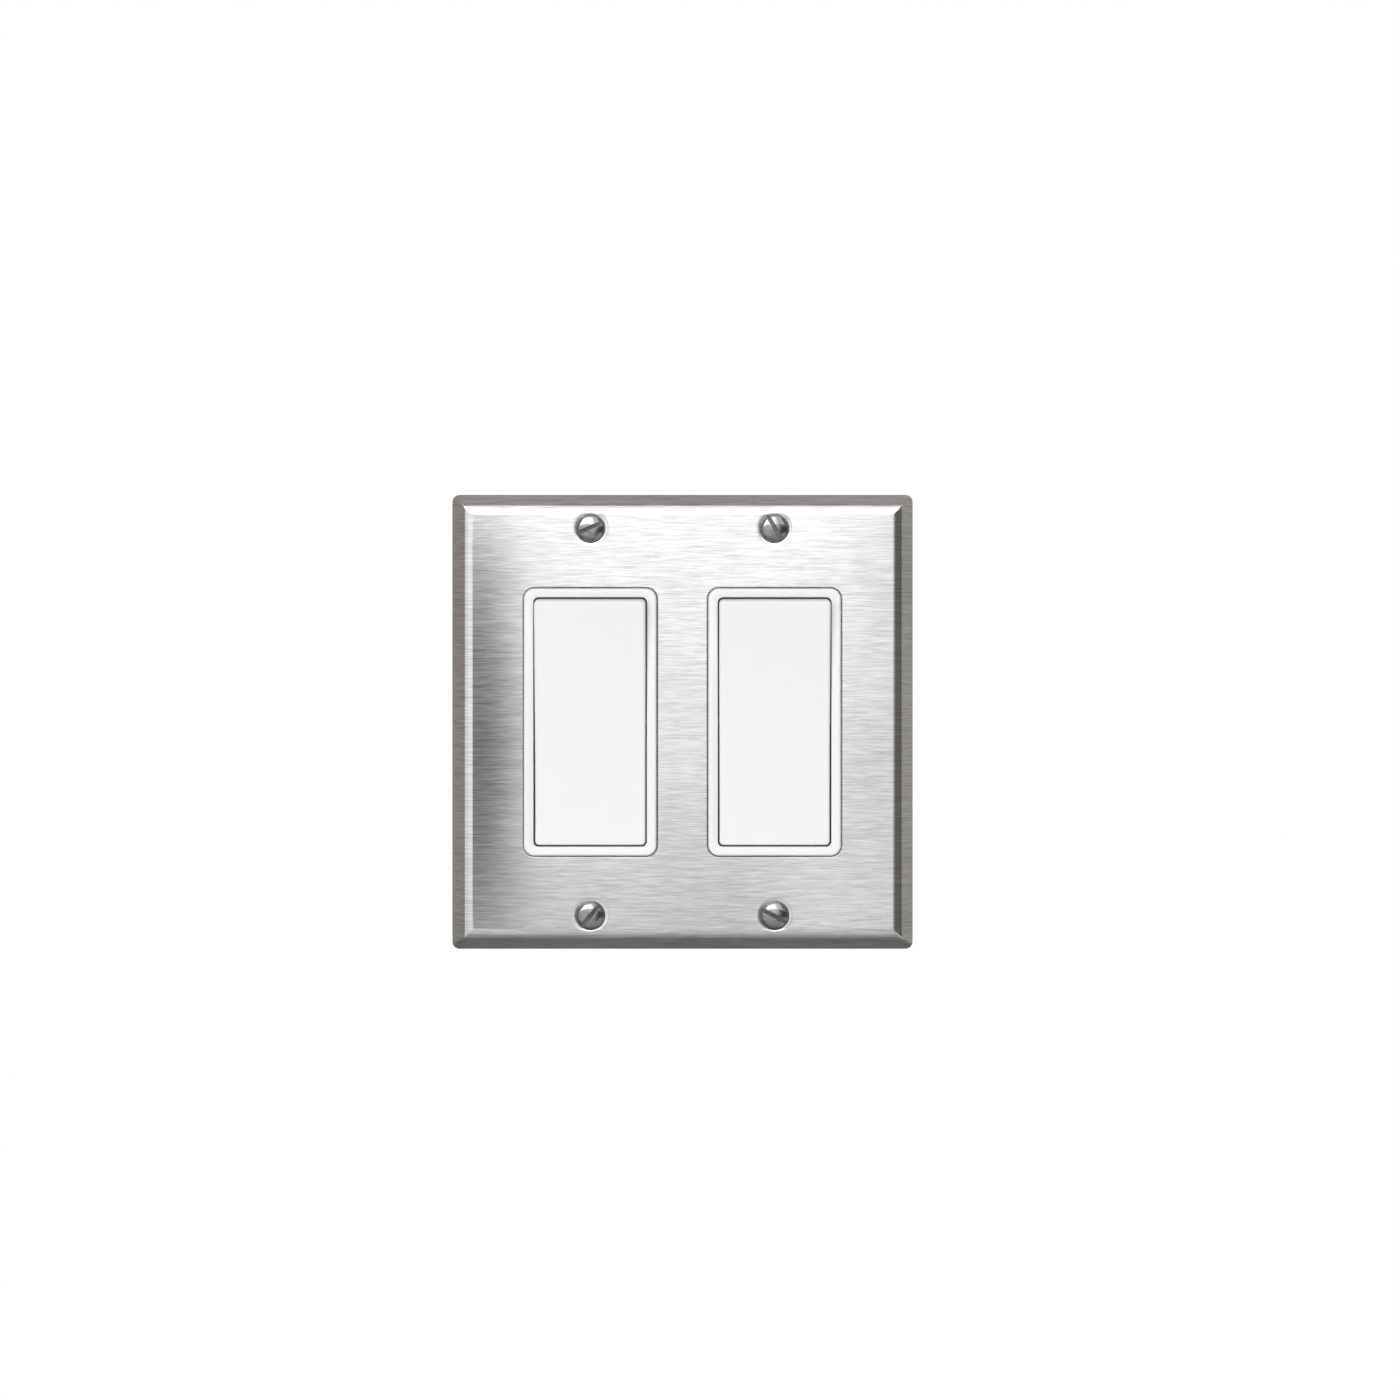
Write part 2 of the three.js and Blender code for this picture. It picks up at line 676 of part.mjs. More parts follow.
/** A contact rivet with its head's face at faceY; its shank points along direction, -1 or +1 in y. */
function contactForm(faceY, direction, sheet) {
  const { z, radius, height, shank, tail, tailHeight } = CONTACT;
  const along = (start, end) => span(faceY + direction * start, faceY + direction * end);
  const tailStart = height + sheet + 2 * AIR;
  return join(
    rodY(radius, along(0, height), 0, z),
    rodY(shank, along(height / 2, tailStart + tailHeight), 0, z, RIVET_SIDES),
    rodY(tail, along(tailStart, tailStart + tailHeight), 0, z, RIVET_SIDES),
  );
}

const MOVING_FACE = AIR + CONTACT.height; // behind the arm's pivot
const FIXED_FACE_Y = ARM.pivotY + MOVING_FACE + AIR;

/** Where a terminal's strip and side plate lie, as [x, y, z] spans; its strip is at depth y. */
function terminalSpans({ startX, strip, sideZ }, y) {
  const { thickness, plateFrontY, plateEndZ } = TERMINAL;
  const outerX = RECESS.floorX + thickness;
  return {
    strip: [[startX, outerX], [y, y + thickness], strip],
    side: [
      [RECESS.floorX + AIR, outerX],
      [plateFrontY, y + thickness],
      span(sideZ, Math.sign(sideZ) * plateEndZ),
    ],
  };
}

function loadTerminal() {
  return terminalSpans(TERMINAL.load, FIXED_FACE_Y + CONTACT.height + AIR);
}

function commonTerminal() {
  return terminalSpans(TERMINAL.common, BODY.chamber.floorY - LOOSE - TERMINAL.thickness);
}

function terminalPlate({ strip, side }, screwZ) {
  const through = [RECESS.floorX - PAST, RECESS.floorX + TERMINAL.thickness + PAST];
  const hole = rodX(TERMINAL_SCREW.shank + LOOSE, through, TERMINAL.screwY, screwZ);
  return block(...side).subtract(hole).add(block(...strip));
}

function loadTerminalForm() {
  const spans = loadTerminal();
  const [front, back] = spans.strip[1];
  return terminalPlate(spans, -TERMINAL.screwZ).subtract(rivetHole([front - PAST, back + PAST]));
}

/** A tapering wall from the common terminal's strip forwards, as [y, z] points. */
function taperedWall(baseY, baseHalf, topY, topHalf) {
  return [[baseY, -baseHalf], [baseY, baseHalf], [topY, topHalf], [topY, -topHalf]];
}

/** The common terminal carries the ridge that the arm rocks on, between two cheeks. */
function commonTerminalForm() {
  const spans = commonTerminal();
  const baseY = spans.strip[1][0] + TERMINAL.thickness / 2;
  const { ridge, crest, cheekBase, cheekTop, cheekRise, gap, wall } = SADDLE;
  const ridgeOutline = taperedWall(baseY, ridge, ARM.pivotY + AIR, crest);
  const cheekOutline = taperedWall(baseY, cheekBase, ARM.pivotY - cheekRise, cheekTop);
  const inner = ARM.halfWidth + gap;
  const outer = inner + wall;
  return join(
    terminalPlate(spans, TERMINAL.screwZ),
    bar(ridgeOutline, [-inner - wall / 2, inner + wall / 2]),
    bar(cheekOutline, [-outer, -inner]),
    bar(cheekOutline, [inner, outer]),
  );
}

// ---- One switch ---------------------------------------------------------------------------------

function terminalScrew(name, up) {
  const screw = piece(name, slottedScrew(TERMINAL_SCREW), BRASS);
  screw.position.set(RECESS.floorX + TERMINAL.thickness + AIR, TERMINAL.screwY, up * TERMINAL.screwZ);
  screw.rotation.set(up * radians(35), 0, Math.PI / 2);
  return screw;
}

function groundScrew(name) {
  const screw = piece(name, slottedScrew(GROUND_SCREW), GREEN);
  screw.position.set(-STRAP.halfWidth - AIR, GROUND.y, GROUND.z);
  screw.rotation.set(radians(-20), 0, -Math.PI / 2);
  return screw;
}

function boxScrew(name, up) {
  const screw = piece(name, slottedScrew(BOX_SCREW), ZINC);
  screw.position.set(0, -STRAP.thickness - AIR, up * BOX_SCREW_Z);
  screw.rotation.y = up * radians(30);
  return screw;
}

function screwWasher(name, up) {
  const { halfWidth, halfHeight, corner, thickness, hole } = WASHER;
  const z = up * BOX_SCREW_Z;
  const outline = roundedShape(halfWidth, halfHeight, corner, 0, z);
  const form = slab(outline, [AIR, thickness + AIR]).subtract(rodY(hole, [-PAST, thickness + PAST], 0, z));
  return piece(name, form, FIBRE);
}

function rockerSwitch({ name, x }) {
  const group = new THREE.Group();
  group.position.x = x;
  group.add(
    paddle(name),
    piece(`${name}_face_frame`, faceFrameForm(), WHITE_PLASTIC),
    piece(`${name}_strap`, strapForm(), ZINC),
    piece(`${name}_back_body`, backBodyForm(), BODY_PLASTIC),
    contactLever(name),
    piece(`${name}_fixed_contact`, contactForm(FIXED_FACE_Y, 1, TERMINAL.thickness), SILVER),
    piece(`${name}_load_terminal`, loadTerminalForm(), BRASS),
    piece(`${name}_common_terminal`, commonTerminalForm(), BRASS),
    terminalScrew(`${name}_load_screw`, -1),
    terminalScrew(`${name}_common_screw`, 1),
    groundScrew(`${name}_ground_screw`),
    boxScrew(`${name}_top_box_screw`, 1),
    boxScrew(`${name}_bottom_box_screw`, -1),
    screwWasher(`${name}_top_screw_washer`, 1),
    screwWasher(`${name}_bottom_screw_washer`, -1),
  );
  return group;
}

// ---- The whole object ---------------------------------------------------------------------------

const assembly = new THREE.Group();
assembly.add(wallPlate(), plateScrews(), ...SWITCHES.map(rockerSwitch));

export default assembly;
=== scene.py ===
"""A two-gang stainless wall plate with two rocker switches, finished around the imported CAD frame.

Meshes are built in millimetres, with the frame's axes, and scaled to metres when they are done.
"""

import json
import math

import bmesh
import bpy
from mathutils import Matrix, Vector


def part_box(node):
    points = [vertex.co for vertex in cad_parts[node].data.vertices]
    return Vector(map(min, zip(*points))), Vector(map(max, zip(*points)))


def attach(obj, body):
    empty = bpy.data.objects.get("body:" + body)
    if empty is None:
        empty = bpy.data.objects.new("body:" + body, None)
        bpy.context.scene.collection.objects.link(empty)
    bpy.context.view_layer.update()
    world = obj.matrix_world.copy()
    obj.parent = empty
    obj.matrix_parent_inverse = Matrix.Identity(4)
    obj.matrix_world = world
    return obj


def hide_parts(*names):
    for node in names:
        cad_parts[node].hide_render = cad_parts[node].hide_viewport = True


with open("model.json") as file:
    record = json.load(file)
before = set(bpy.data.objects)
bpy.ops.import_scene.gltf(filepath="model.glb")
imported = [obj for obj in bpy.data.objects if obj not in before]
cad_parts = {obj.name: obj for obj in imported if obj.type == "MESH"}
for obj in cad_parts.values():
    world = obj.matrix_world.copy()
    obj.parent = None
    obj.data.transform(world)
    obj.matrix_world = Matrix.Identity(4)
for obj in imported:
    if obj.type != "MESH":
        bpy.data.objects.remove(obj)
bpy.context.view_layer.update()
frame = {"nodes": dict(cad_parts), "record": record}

MM = 0.001

# ---- Sizes in millimetres

PLATE_LOW, PLATE_HIGH = (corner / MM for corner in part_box("wall_plate"))
PLATE_HALF_WIDTH = PLATE_HIGH.x
PLATE_HALF_HEIGHT = PLATE_HIGH.z
PLATE_FACE_Y = PLATE_LOW.y
SHEET = 0.8
LIP = 0.6
BEVEL_WIDTH = 2.4
SHOULDER_RADIUS = 4.0
PLATE_CORNER = 1.8
OPENING_HALF_WIDTH = 16.75
OPENING_HALF_HEIGHT = 33.6
OPENING_CORNER = 2.8
OPENING_ROLL = 0.3
# The dimple round each plate screw, as (radius, depth below the face).
DIMPLE = ((4.8, 0), (4.5, 0.01), (4.2, 0.04), (3.9, 0.085), (3.6, 0.16), (3.2, 0.42), (2.0, 1.62))

PIVOT_Y = -3.0
PIN_RADIUS = 1.4
PIN_END_X = 15.6
REST_TILT = math.radians(4)  # the lower end is pressed in
ROCKER_HALF_WIDTH = 13.85
ROCKER_END_RADIUS = 30.9
ROCKER_EDGE_Y = -5.05
ROCKER_DISH = 1.6
ROCKER_DISH_REACH = 32.0
ROCKER_CORNER = 1.1
ROCKER_INNER_CORNER = 0.4
ROCKER_EDGE_ROUND = 0.7
ROCKER_FACE_WALL = 1.6
ROCKER_SKIRT_WALL = 1.3
ROCKER_SKIRT_Y = 1.0

FRAME_HALF_WIDTH = 16.55
FRAME_HALF_HEIGHT = 33.35
FRAME_CORNER = 2.6
FRAME_INNER_HALF_WIDTH = 14.15
FRAME_INNER_HALF_HEIGHT = 31.1
FRAME_INNER_CORNER = 1.3
FRAME_BACK_Y = -1.25
FRAME_FRONT_Y = -6.5
SNAP_Z = 26
SNAP_HALF = 3
SNAP_NOTCH_HALF = 3.3

STRAP_FRONT_Y = -1.2
WINDOW_HALF_WIDTH = 14.6
WINDOW_HALF_HEIGHT = 31.9
WINDOW_CORNER = 1.5
TAB_FACE_X = -19
BODY_HALF_WIDTH = 16.6
BODY_HALF_HEIGHT = 33
BODY_BACK_Y = 23.5
CHAMBER_BACK_Y = 20.3
RECESS_FLOOR_X = 13.2
TERMINAL_THICKNESS = 1

SCREW_LIFT = 0.05  # a screw's head stands this far clear of its seat
PLATE_SCREW_Z = 48.42
BOX_SCREW_Z = 41.67
TERMINAL_SCREW_Z = 13
TERMINAL_SCREW_Y = 13.5
GROUND_Z = -16
GROUND_Y = 6.5
TAB_HEIGHTS = (GROUND_Z - 4, GROUND_Z + 4)
# How far each plate screw's slot is turned from level, anticlockwise from the front, in degrees.
SLOT_TURNS = {"top_left": 22, "top_right": -61, "bottom_left": 50, "bottom_right": -27}

GANG_X = (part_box("right_face_frame")[0].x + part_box("right_face_frame")[1].x) / 2 / MM
SWITCHES = {"left": -GANG_X, "right": GANG_X}

# ---- Mesh helpers


def lerp(start, end, share):
    return start + (end - start) * share


def arc(centre, radius, start_deg, end_deg, steps):
    """Points (u, v) on an arc, both ends included."""
    angles = [math.radians(lerp(start_deg, end_deg, step / steps)) for step in range(steps + 1)]
    return [(centre[0] + radius * math.cos(a), centre[1] + radius * math.sin(a)) for a in angles]


def rounded_rectangle(half_u, half_v, radius, corner_steps=6, side_steps=(1, 1), centre=(0, 0)):
    """Points (u, v) round a rectangle with round corners, anticlockwise, from the right-hand side."""
    corners = ((1, 1), (-1, 1), (-1, -1), (1, -1))
    arcs = []
    for turn, (side, up) in enumerate(corners):
        middle = (centre[0] + side * (half_u - radius), centre[1] + up * (half_v - radius))
        arcs.append(arc(middle, radius, turn * 90, turn * 90 + 90, corner_steps))
    points = []
    for turn, here in enumerate(arcs):
        points += here
        start, end = here[-1], arcs[(turn + 1) % 4][0]
        steps = side_steps[turn % 2]
        points += [
            (lerp(start[0], end[0], step / steps), lerp(start[1], end[1], step / steps))
            for step in range(1, steps)
        ]
    return points


def circle(radius, sides, centre=(0, 0)):
    return arc(centre, radius, 0, 360, sides)[:-1]


def at_depth(points, y):
    """The (x, z) points as corners in space. y is a number, or a function of z."""
    return [(x, y(z) if callable(y) else y, z) for x, z in points]


def skin(bm, loops, closed=False):
    """Quads between loops of equally many points. Returns the loops' vertices."""
    rings = [[bm.verts.new(point) for point in loop] for loop in loops]
    neighbours = list(zip(rings, rings[1:]))
    if closed:
        neighbours.append((rings[-1], rings[0]))
    for near, far in neighbours:
        for i in range(len(near)):
            j = (i + 1) % len(near)
            bm.faces.new((near[i], near[j], far[j], far[i]))
    return rings


def fill(bm, *rings):
    """A flat face inside the first ring and outside the others."""
    edges = []
    for ring in rings:
        for i in range(len(ring)):
            pair = (ring[i - 1], ring[i])
            edges.append(bm.edges.get(pair) or bm.edges.new(pair))
    bmesh.ops.triangle_fill(bm, edges=edges, use_beauty=True, normal=(0, -1, 0))


def lofted(loops):
    """A solid through loops of equally many points, with flat ends."""
    bm = bmesh.new()
    rings = skin(bm, loops)
    bm.faces.new(rings[0])
    bm.faces.new(rings[-1])
    return cleaned(bm)


def cleaned(bm):
    bmesh.ops.remove_doubles(bm, verts=bm.verts, dist=1e-4)
    bmesh.ops.dissolve_degenerate(bm, edges=bm.edges, dist=1e-5)
    bmesh.ops.recalc_face_normals(bm, faces=bm.faces)
    return bm


def prism(outline, start, end, axis="y"):
    """A solid with a flat outline of (u, v) points, carried along x, y or z."""
    place = {
        "x": lambda u, v, w: (w, u, v),
        "y": lambda u, v, w: (u, w, v),
        "z": lambda u, v, w: (u, v, w),
    }[axis]
    return lofted([[place(u, v, w) for u, v in outline] for w in (start, end)])


def block(x, y, z):
    return prism([(x[0], z[0]), (x[1], z[0]), (x[1], z[1]), (x[0], z[1])], y[0], y[1])


def rod(radius, start, end, centre=(0, 0), axis="y"):
    return prism(circle(radius, 40, centre), start, end, axis)


def turned(profile, sides):
    """A solid turned about the y axis, from (radius, y) points that start and end on the axis."""
    bm = bmesh.new()
    skin(bm, [at_depth(circle(radius, sides), y) for radius, y in profile])
    return cleaned(bm)


def mesh_from(name, bm):
    mesh = bpy.data.meshes.new(name)
    bm.to_mesh(mesh)
    bm.free()
    return mesh


def add_object(name, data):
    made = bpy.data.objects.new(name, data)
    bpy.context.scene.collection.objects.link(made)
    return made


def combine(bm, tool, operation):
    """The solid with a tool joined to it (UNION), or cut out of it (DIFFERENCE)."""
    host, guest = (add_object("scratch", mesh_from("scratch", solid)) for solid in (bm, tool))
    modifier = host.modifiers.new("combine", "BOOLEAN")
    modifier.operation = operation
    modifier.solver = "EXACT"
    modifier.object = guest
    bpy.context.view_layer.update()
    result = bmesh.new()
    result.from_object(host, bpy.context.evaluated_depsgraph_get())
    for spent in (host, guest):
        mesh = spent.data
        bpy.data.objects.remove(spent)
        bpy.data.meshes.remove(mesh)
    return cleaned(result)


def join(bm, *tools):
    for tool in tools:
        bm = combine(bm, tool, "UNION")
    return bm


def cut(bm, *tools):
    for tool in tools:
        bm = combine(bm, tool, "DIFFERENCE")
    return bm


def moved(bm, matrix):
    bmesh.ops.transform(bm, matrix=matrix, verts=bm.verts)
    return bm


def soften(bm, width, angle_deg=40, where=lambda middle: True):
    """Rounds the edges sharper than the angle whose middles pass the test."""
    limit = math.radians(angle_deg)
    edges = [
        edge
        for edge in bm.edges
        if len(edge.link_faces) == 2
        and edge.calc_face_angle(0) > limit
        and where((edge.verts[0].co + edge.verts[1].co) / 2)
    ]
    bmesh.ops.bevel(
        bm, geom=edges, offset=width, segments=2, profile=0.5, affect="EDGES", clamp_overlap=True
    )
    return cleaned(bm)


# ---- Pieces and the frame

BODY_OF = {
    node: body for body, nodes in frame["record"]["behaviour"]["bodies"].items() for node in nodes
}
SLOT_OF = {part["node"]: part["material_slot"] for part in frame["record"]["subparts"]}
SMOOTH_BELOW = math.radians(32)
ROUND_ABOVE = math.radians(40)


def stand_in(node, bm, place=Matrix.Identity(4)):
    """A finer piece in a CAD node's place, on the same body and in the same material slot."""
    moved(bm, Matrix.Scale(MM, 4) @ place)
    mesh = mesh_from(node + "_fine", bm)
    mesh.shade_smooth()
    mesh.set_sharp_from_angle(angle=SMOOTH_BELOW)
    piece = add_object(node + "_fine", mesh)
    mesh.materials.append(FINISHES[SLOT_OF[node]])
    if node.endswith("plate_screw"):
        mesh.materials.append(SLOT_FINISH_AND_SHADE)  # slotted_screw gives it to the slot's faces
    weighted = piece.modifiers.new("even_shading", "WEIGHTED_NORMAL")
    weighted.keep_sharp = True
    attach(piece, BODY_OF[node])
    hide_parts(node)


def carry_over(node, edge_round):
    """A CAD node shown as it is, with rounded edges and a finish of its own."""
    piece = frame["nodes"][node]
    piece.data.materials.clear()
    piece.data.materials.append(FINISHES[SLOT_OF[node]])
    edges = piece.modifiers.new("edges", "BEVEL")
    edges.width = edge_round * MM
    edges.segments = 2
    edges.limit_method = "ANGLE"
    edges.angle_limit = ROUND_ABOVE
    edges.harden_normals = True


# ---- Finishes


def map_range(tree, start, end, low, high, interpolation="LINEAR"):
    """A node that takes start to end over to low to high. Returns its input and its output."""
    spread = tree.nodes.new("ShaderNodeMapRange")
    spread.interpolation_type = interpolation
    for name, number in (("From Min", start), ("From Max", end), ("To Min", low), ("To Max", high)):
        spread.inputs[name].default_value = number
    return spread.inputs["Value"], spread.outputs["Result"]


class Finish:
    """A Principled material, with short ways to feed it noise."""

    def __init__(self, name):
        self.material = bpy.data.materials.new(name)
        self.material.use_nodes = True
        self.tree = self.material.node_tree
        self.shader = self.tree.nodes["Principled BSDF"]
        self.place = self.node("ShaderNodeTexCoord").outputs["Object"]

    def node(self, kind, **settings):
        made = self.tree.nodes.new(kind)
        for name, value in settings.items():
            setattr(made, name, value)
        return made

    def feed(self, target, value):
        """Links a socket, or sets it to a constant."""
        if isinstance(value, bpy.types.NodeSocket):
            self.tree.links.new(value, target)
        else:
            target.default_value = value

    def set(self, **values):
        """Sets the shader's sockets: base_color sets Base Color, and so on."""
        names = {socket.name.lower().replace(" ", "_"): socket for socket in self.shader.inputs}
        for name, value in values.items():
            self.feed(names[name], value)

    def noise(self, scale, stretch=(1, 1, 1), detail=3, roughness=0.55):
        """Noise of about that many features to the metre, multiplied by stretch along x, y and z."""
        mapping = self.node("ShaderNodeMapping")
        mapping.inputs["Scale"].default_value = [scale * factor for factor in stretch]
        self.feed(mapping.inputs["Vector"], self.place)
        noise = self.node("ShaderNodeTexNoise")
        noise.inputs["Scale"].default_value = 1
        noise.inputs["Detail"].default_value = detail
        noise.inputs["Roughness"].default_value = roughness
        self.feed(noise.inputs["Vector"], mapping.outputs["Vector"])
        return noise.outputs["Fac"]

    def span(self, value, low, high, start=0.3, end=0.7):
        """value from start to end, spread over low to high."""
        source, result = map_range(self.tree, start, end, low, high)
        self.feed(source, value)
        return result

    def math(self, operation, first, second):
        made = self.node("ShaderNodeMath", operation=operation)
        self.feed(made.inputs[0], first)
        self.feed(made.inputs[1], second)
        return made.outputs["Value"]

    def blend(self, first, second, share):
        """Two values added together, with that share of the first."""
        parts = [self.math("MULTIPLY", first, share), self.math("MULTIPLY", second, 1 - share)]
        return self.math("ADD", *parts)

    def mix(self, share, first, second):
        """A colour between two, each an (r, g, b) or a socket."""
        made = self.node("ShaderNodeMix", data_type="RGBA")
        self.feed(made.inputs["Factor"], share)
        for name, colour in (("A", first), ("B", second)):
            socket = next(s for s in made.inputs if s.name == name and s.type == "RGBA")
            self.feed(socket, colour if isinstance(colour, bpy.types.NodeSocket) else (*colour, 1))
        return next(s for s in made.outputs if s.type == "RGBA")

    def bump(self, height, strength, distance):
        """distance is the height of the relief, in metres."""
        made = self.node("ShaderNodeBump")
        made.inputs["Strength"].default_value = strength
        made.inputs["Distance"].default_value = distance
        self.feed(made.inputs["Height"], height)
        self.feed(self.shader.inputs["Normal"], made.outputs["Normal"])

    def crevice_shade(self, reach):
        """The mask for painted shade: 1 deep in a gap narrower than reach, in metres, fading to 0 in the
        open.
        """
        near = self.node("ShaderNodeAmbientOcclusion", samples=8)
        near.inputs["Distance"].default_value = reach
        return self.span(near.outputs["AO"], 1, 0, 0.1, 0.6)

    def edges(self, radius):
        """1 on edges sharper than radius, in metres, fading to 0 on even faces."""
        bevel = self.node("ShaderNodeBevel", samples=4)
        bevel.inputs["Radius"].default_value = radius
        facing = self.node("ShaderNodeVectorMath", operation="DOT_PRODUCT")
        self.feed(facing.inputs[0], bevel.outputs["Normal"])
        self.feed(facing.inputs[1], self.node("ShaderNodeNewGeometry").outputs["Normal"])
        return self.span(facing.outputs["Value"], 1, 0, 0.8, 0.99)


def brushed_stainless():
    """Fine level streaks, brushed into the sheet along x, which spread reflections up and down."""
    finish = Finish("brushed_stainless")
    fine = finish.noise(1, (190, 190, 5400), detail=2, roughness=0.6)
    broad = finish.noise(1, (120, 120, 2900), detail=2, roughness=0.6)
    cloudy = finish.noise(22, detail=1)
    upright = finish.node("ShaderNodeCombineXYZ")
    upright.inputs["Z"].default_value = 1
    streaks = finish.blend(fine, broad, 0.55)
    tone = finish.span(finish.blend(streaks, cloudy, 0.85), 0, 1, 0.39, 0.61)
    finish.set(
        base_color=finish.mix(tone, (0.60, 0.60, 0.603), (0.92, 0.92, 0.924)),
        metallic=1.0,
        roughness=finish.span(streaks, 0.07, 0.11),
        anisotropic=0.8,
        tangent=upright.outputs["Vector"],
    )
    finish.bump(streaks, 0.4, 0.000006)
    return finish.material


def polished_steel():
    """Turned steel with a dark polish and faint handling marks."""
    finish = Finish("polished_steel")
    smears = finish.noise(260, detail=3)
    scuffs = finish.noise(1, (900, 2400, 5200), detail=2)
    finish.set(
        base_color=finish.mix(finish.span(smears, 0, 1), (0.27, 0.268, 0.26), (0.38, 0.376, 0.365)),
        metallic=1.0,
        roughness=finish.span(finish.math("MULTIPLY", smears, scuffs), 0.06, 0.18, 0.12, 0.4),
    )
    finish.bump(scuffs, 0.15, 0.000004)
    return finish.material


def white_plastic():
    """Glossy moulded plastic with very faint flow marks and orange peel, and painted shade that darkens
    it deep in its gaps.
    """
    finish = Finish("white_plastic")
    peel = finish.noise(1300, detail=1)
    flow = finish.noise(1, (60, 60, 25), detail=2)
    unshaded = finish.mix(flow, (0.852, 0.852, 0.847), (0.856, 0.856, 0.851))
    finish.set(
        # Painted shade: the base colour turns grey deep in the gaps, where ambient occlusion finds them.
        base_color=finish.mix(finish.crevice_shade(0.0015), unshaded, (0.42, 0.415, 0.40)),
        roughness=finish.span(flow, 0.27, 0.3, 0, 1),
        subsurface_weight=0.04,
        subsurface_radius=(0.0012, 0.001, 0.0008),
        subsurface_scale=1.0,
        ior=1.49,
    )
    finish.bump(peel, 0.12, 0.000006)
    return finish.material


def moulded_plastic(name, dark, light, rough=(0.42, 0.58), grain=1600):
    """Matt moulded plastic with a fine spark-eroded grain and paler rubbed edges."""
    finish = Finish(name)
    texture = finish.noise(grain, detail=2)
    flow = finish.noise(1, (45, 90, 45), detail=3)
    tone = finish.mix(finish.span(flow, 0, 1), dark, light)
    rubbed = tuple(min(1.0, channel * 1.18) for channel in light)
    finish.set(
        base_color=finish.mix(finish.math("MULTIPLY", finish.edges(0.0004), 0.5), tone, rubbed),
        roughness=finish.span(texture, *rough),
        ior=1.52,
    )
    finish.bump(texture, 0.3, 0.00001)
    return finish.material


def zinc_plate():
    """Zinc-plated pressed steel: cloudy plating, faint rolling lines and brighter sheared edges."""
    finish = Finish("zinc_plate")
    clouds = finish.noise(240, detail=4, roughness=0.6)
    rolled = finish.noise(1, (2200, 2200, 90), detail=3)
    tone = finish.blend(clouds, rolled, 0.7)
    plating = finish.mix(finish.span(tone, 0, 1), (0.50, 0.51, 0.515), (0.70, 0.71, 0.72))
    worn = finish.math("MULTIPLY", finish.edges(0.00025), 0.6)
    finish.set(
        base_color=finish.mix(worn, plating, (0.84, 0.84, 0.83)),
        metallic=1.0,
        roughness=finish.span(tone, 0.28, 0.46),
    )
    finish.bump(tone, 0.3, 0.000008)
    return finish.material


def drawn_metal(name, dark, light, rough=(0.2, 0.36)):
    """Rolled or turned metal with fine lines, dull patches and bright edges."""
    finish = Finish(name)
    lines = finish.noise(1, (500, 500, 2500), detail=3)
    patches = finish.noise(420, detail=4, roughness=0.6)
    tone = finish.blend(lines, patches, 0.4)
    bright = tuple(min(1.0, channel * 1.12) for channel in light)
    worn = finish.math("MULTIPLY", finish.edges(0.0002), 0.5)
    finish.set(
        base_color=finish.mix(worn, finish.mix(finish.span(tone, 0, 1), dark, light), bright),
        metallic=1.0,
        roughness=finish.span(patches, *rough),
    )
    finish.bump(lines, 0.2, 0.000005)
    return finish.material


def green_screw_paint():
    """A thin green dye over plated steel, rubbed through on the edges."""
    finish = Finish("green_screw")
    patches = finish.noise(600, detail=4)
    worn = finish.math("MULTIPLY", finish.edges(0.0002), finish.span(patches, 0.2, 0.8))
    dye = finish.mix(finish.span(patches, 0, 1), (0.05, 0.24, 0.10), (0.10, 0.38, 0.18))
    finish.set(
        base_color=finish.mix(worn, dye, (0.55, 0.62, 0.52)),
        metallic=0.75,
        roughness=finish.span(patches, 0.26, 0.42),
    )
    finish.bump(patches, 0.2, 0.000006)
    return finish.material


def pressed_fibre():
    """Brown fibre board with short flecks."""
    finish = Finish("pressed_fibre")
    flecks = finish.noise(1, (2600, 2600, 900), detail=5, roughness=0.7)
    finish.set(
        base_color=finish.mix(finish.span(flecks, 0, 1), (0.42, 0.32, 0.18), (0.68, 0.56, 0.36)),
        roughness=finish.span(flecks, 0.9, 0.7),
        sheen_weight=0.15,
    )
    finish.bump(flecks, 0.5, 0.00002)
    return finish.material


FINISHES = {
    "stainless_plate": brushed_stainless(),
    "polished_screw": polished_steel(),
    "white_plastic": white_plastic(),
    "body_plastic": moulded_plastic("body_plastic", (0.50, 0.51, 0.52), (0.60, 0.61, 0.62)),
    "acetal": moulded_plastic("acetal", (0.78, 0.75, 0.67), (0.86, 0.84, 0.77), (0.32, 0.42), 700),
    "zinc_steel": zinc_plate(),
    "brass": drawn_metal("brass", (0.66, 0.46, 0.19), (0.83, 0.63, 0.31)),
    "silver_contact": drawn_metal("silver_contact", (0.74, 0.73, 0.70), (0.90, 0.89, 0.86)),
    "spring_steel": drawn_metal("spring_steel", (0.38, 0.38, 0.39), (0.58, 0.58, 0.58)),
    "green_screw": green_screw_paint(),
    "fibre": pressed_fibre(),
}

# The slots' steel: partly a rough sawn finish, partly painted shade, far darker than the head so the
# slot reads as shaded.
SLOT_FINISH_AND_SHADE = drawn_metal("sawn_slot", (0.04, 0.039, 0.037), (0.25, 0.245, 0.24), (0.3, 0.5))

# ---- Screws

THREAD_PITCH = 0.794
THREAD_ROWS = 6  # to one turn
SCREW_SIDES = 48


def thread(major, minor, start_y, end_y):
    """Loops of a screw thread about the y axis, running out over one pitch at each end."""
    rows = round((end_y - start_y) / THREAD_PITCH * THREAD_ROWS)
    loops = []
    for row in range(rows + 1):
        y = lerp(start_y, end_y, row / rows)
        run_out = min(1, (end_y - y) / THREAD_PITCH, (y - start_y) / THREAD_PITCH)
        loop = []
        for side in range(SCREW_SIDES):
            phase = (y / THREAD_PITCH - side / SCREW_SIDES) % 1
            crest = min(1, 1.25 * (1 - abs(2 * phase - 1)))
            radius = lerp(minor, major, crest * run_out)
            angle = 2 * math.pi * side / SCREW_SIDES
            loop.append((radius * math.cos(angle), y, radius * math.sin(angle)))
        loops.append(loop)
    return loops


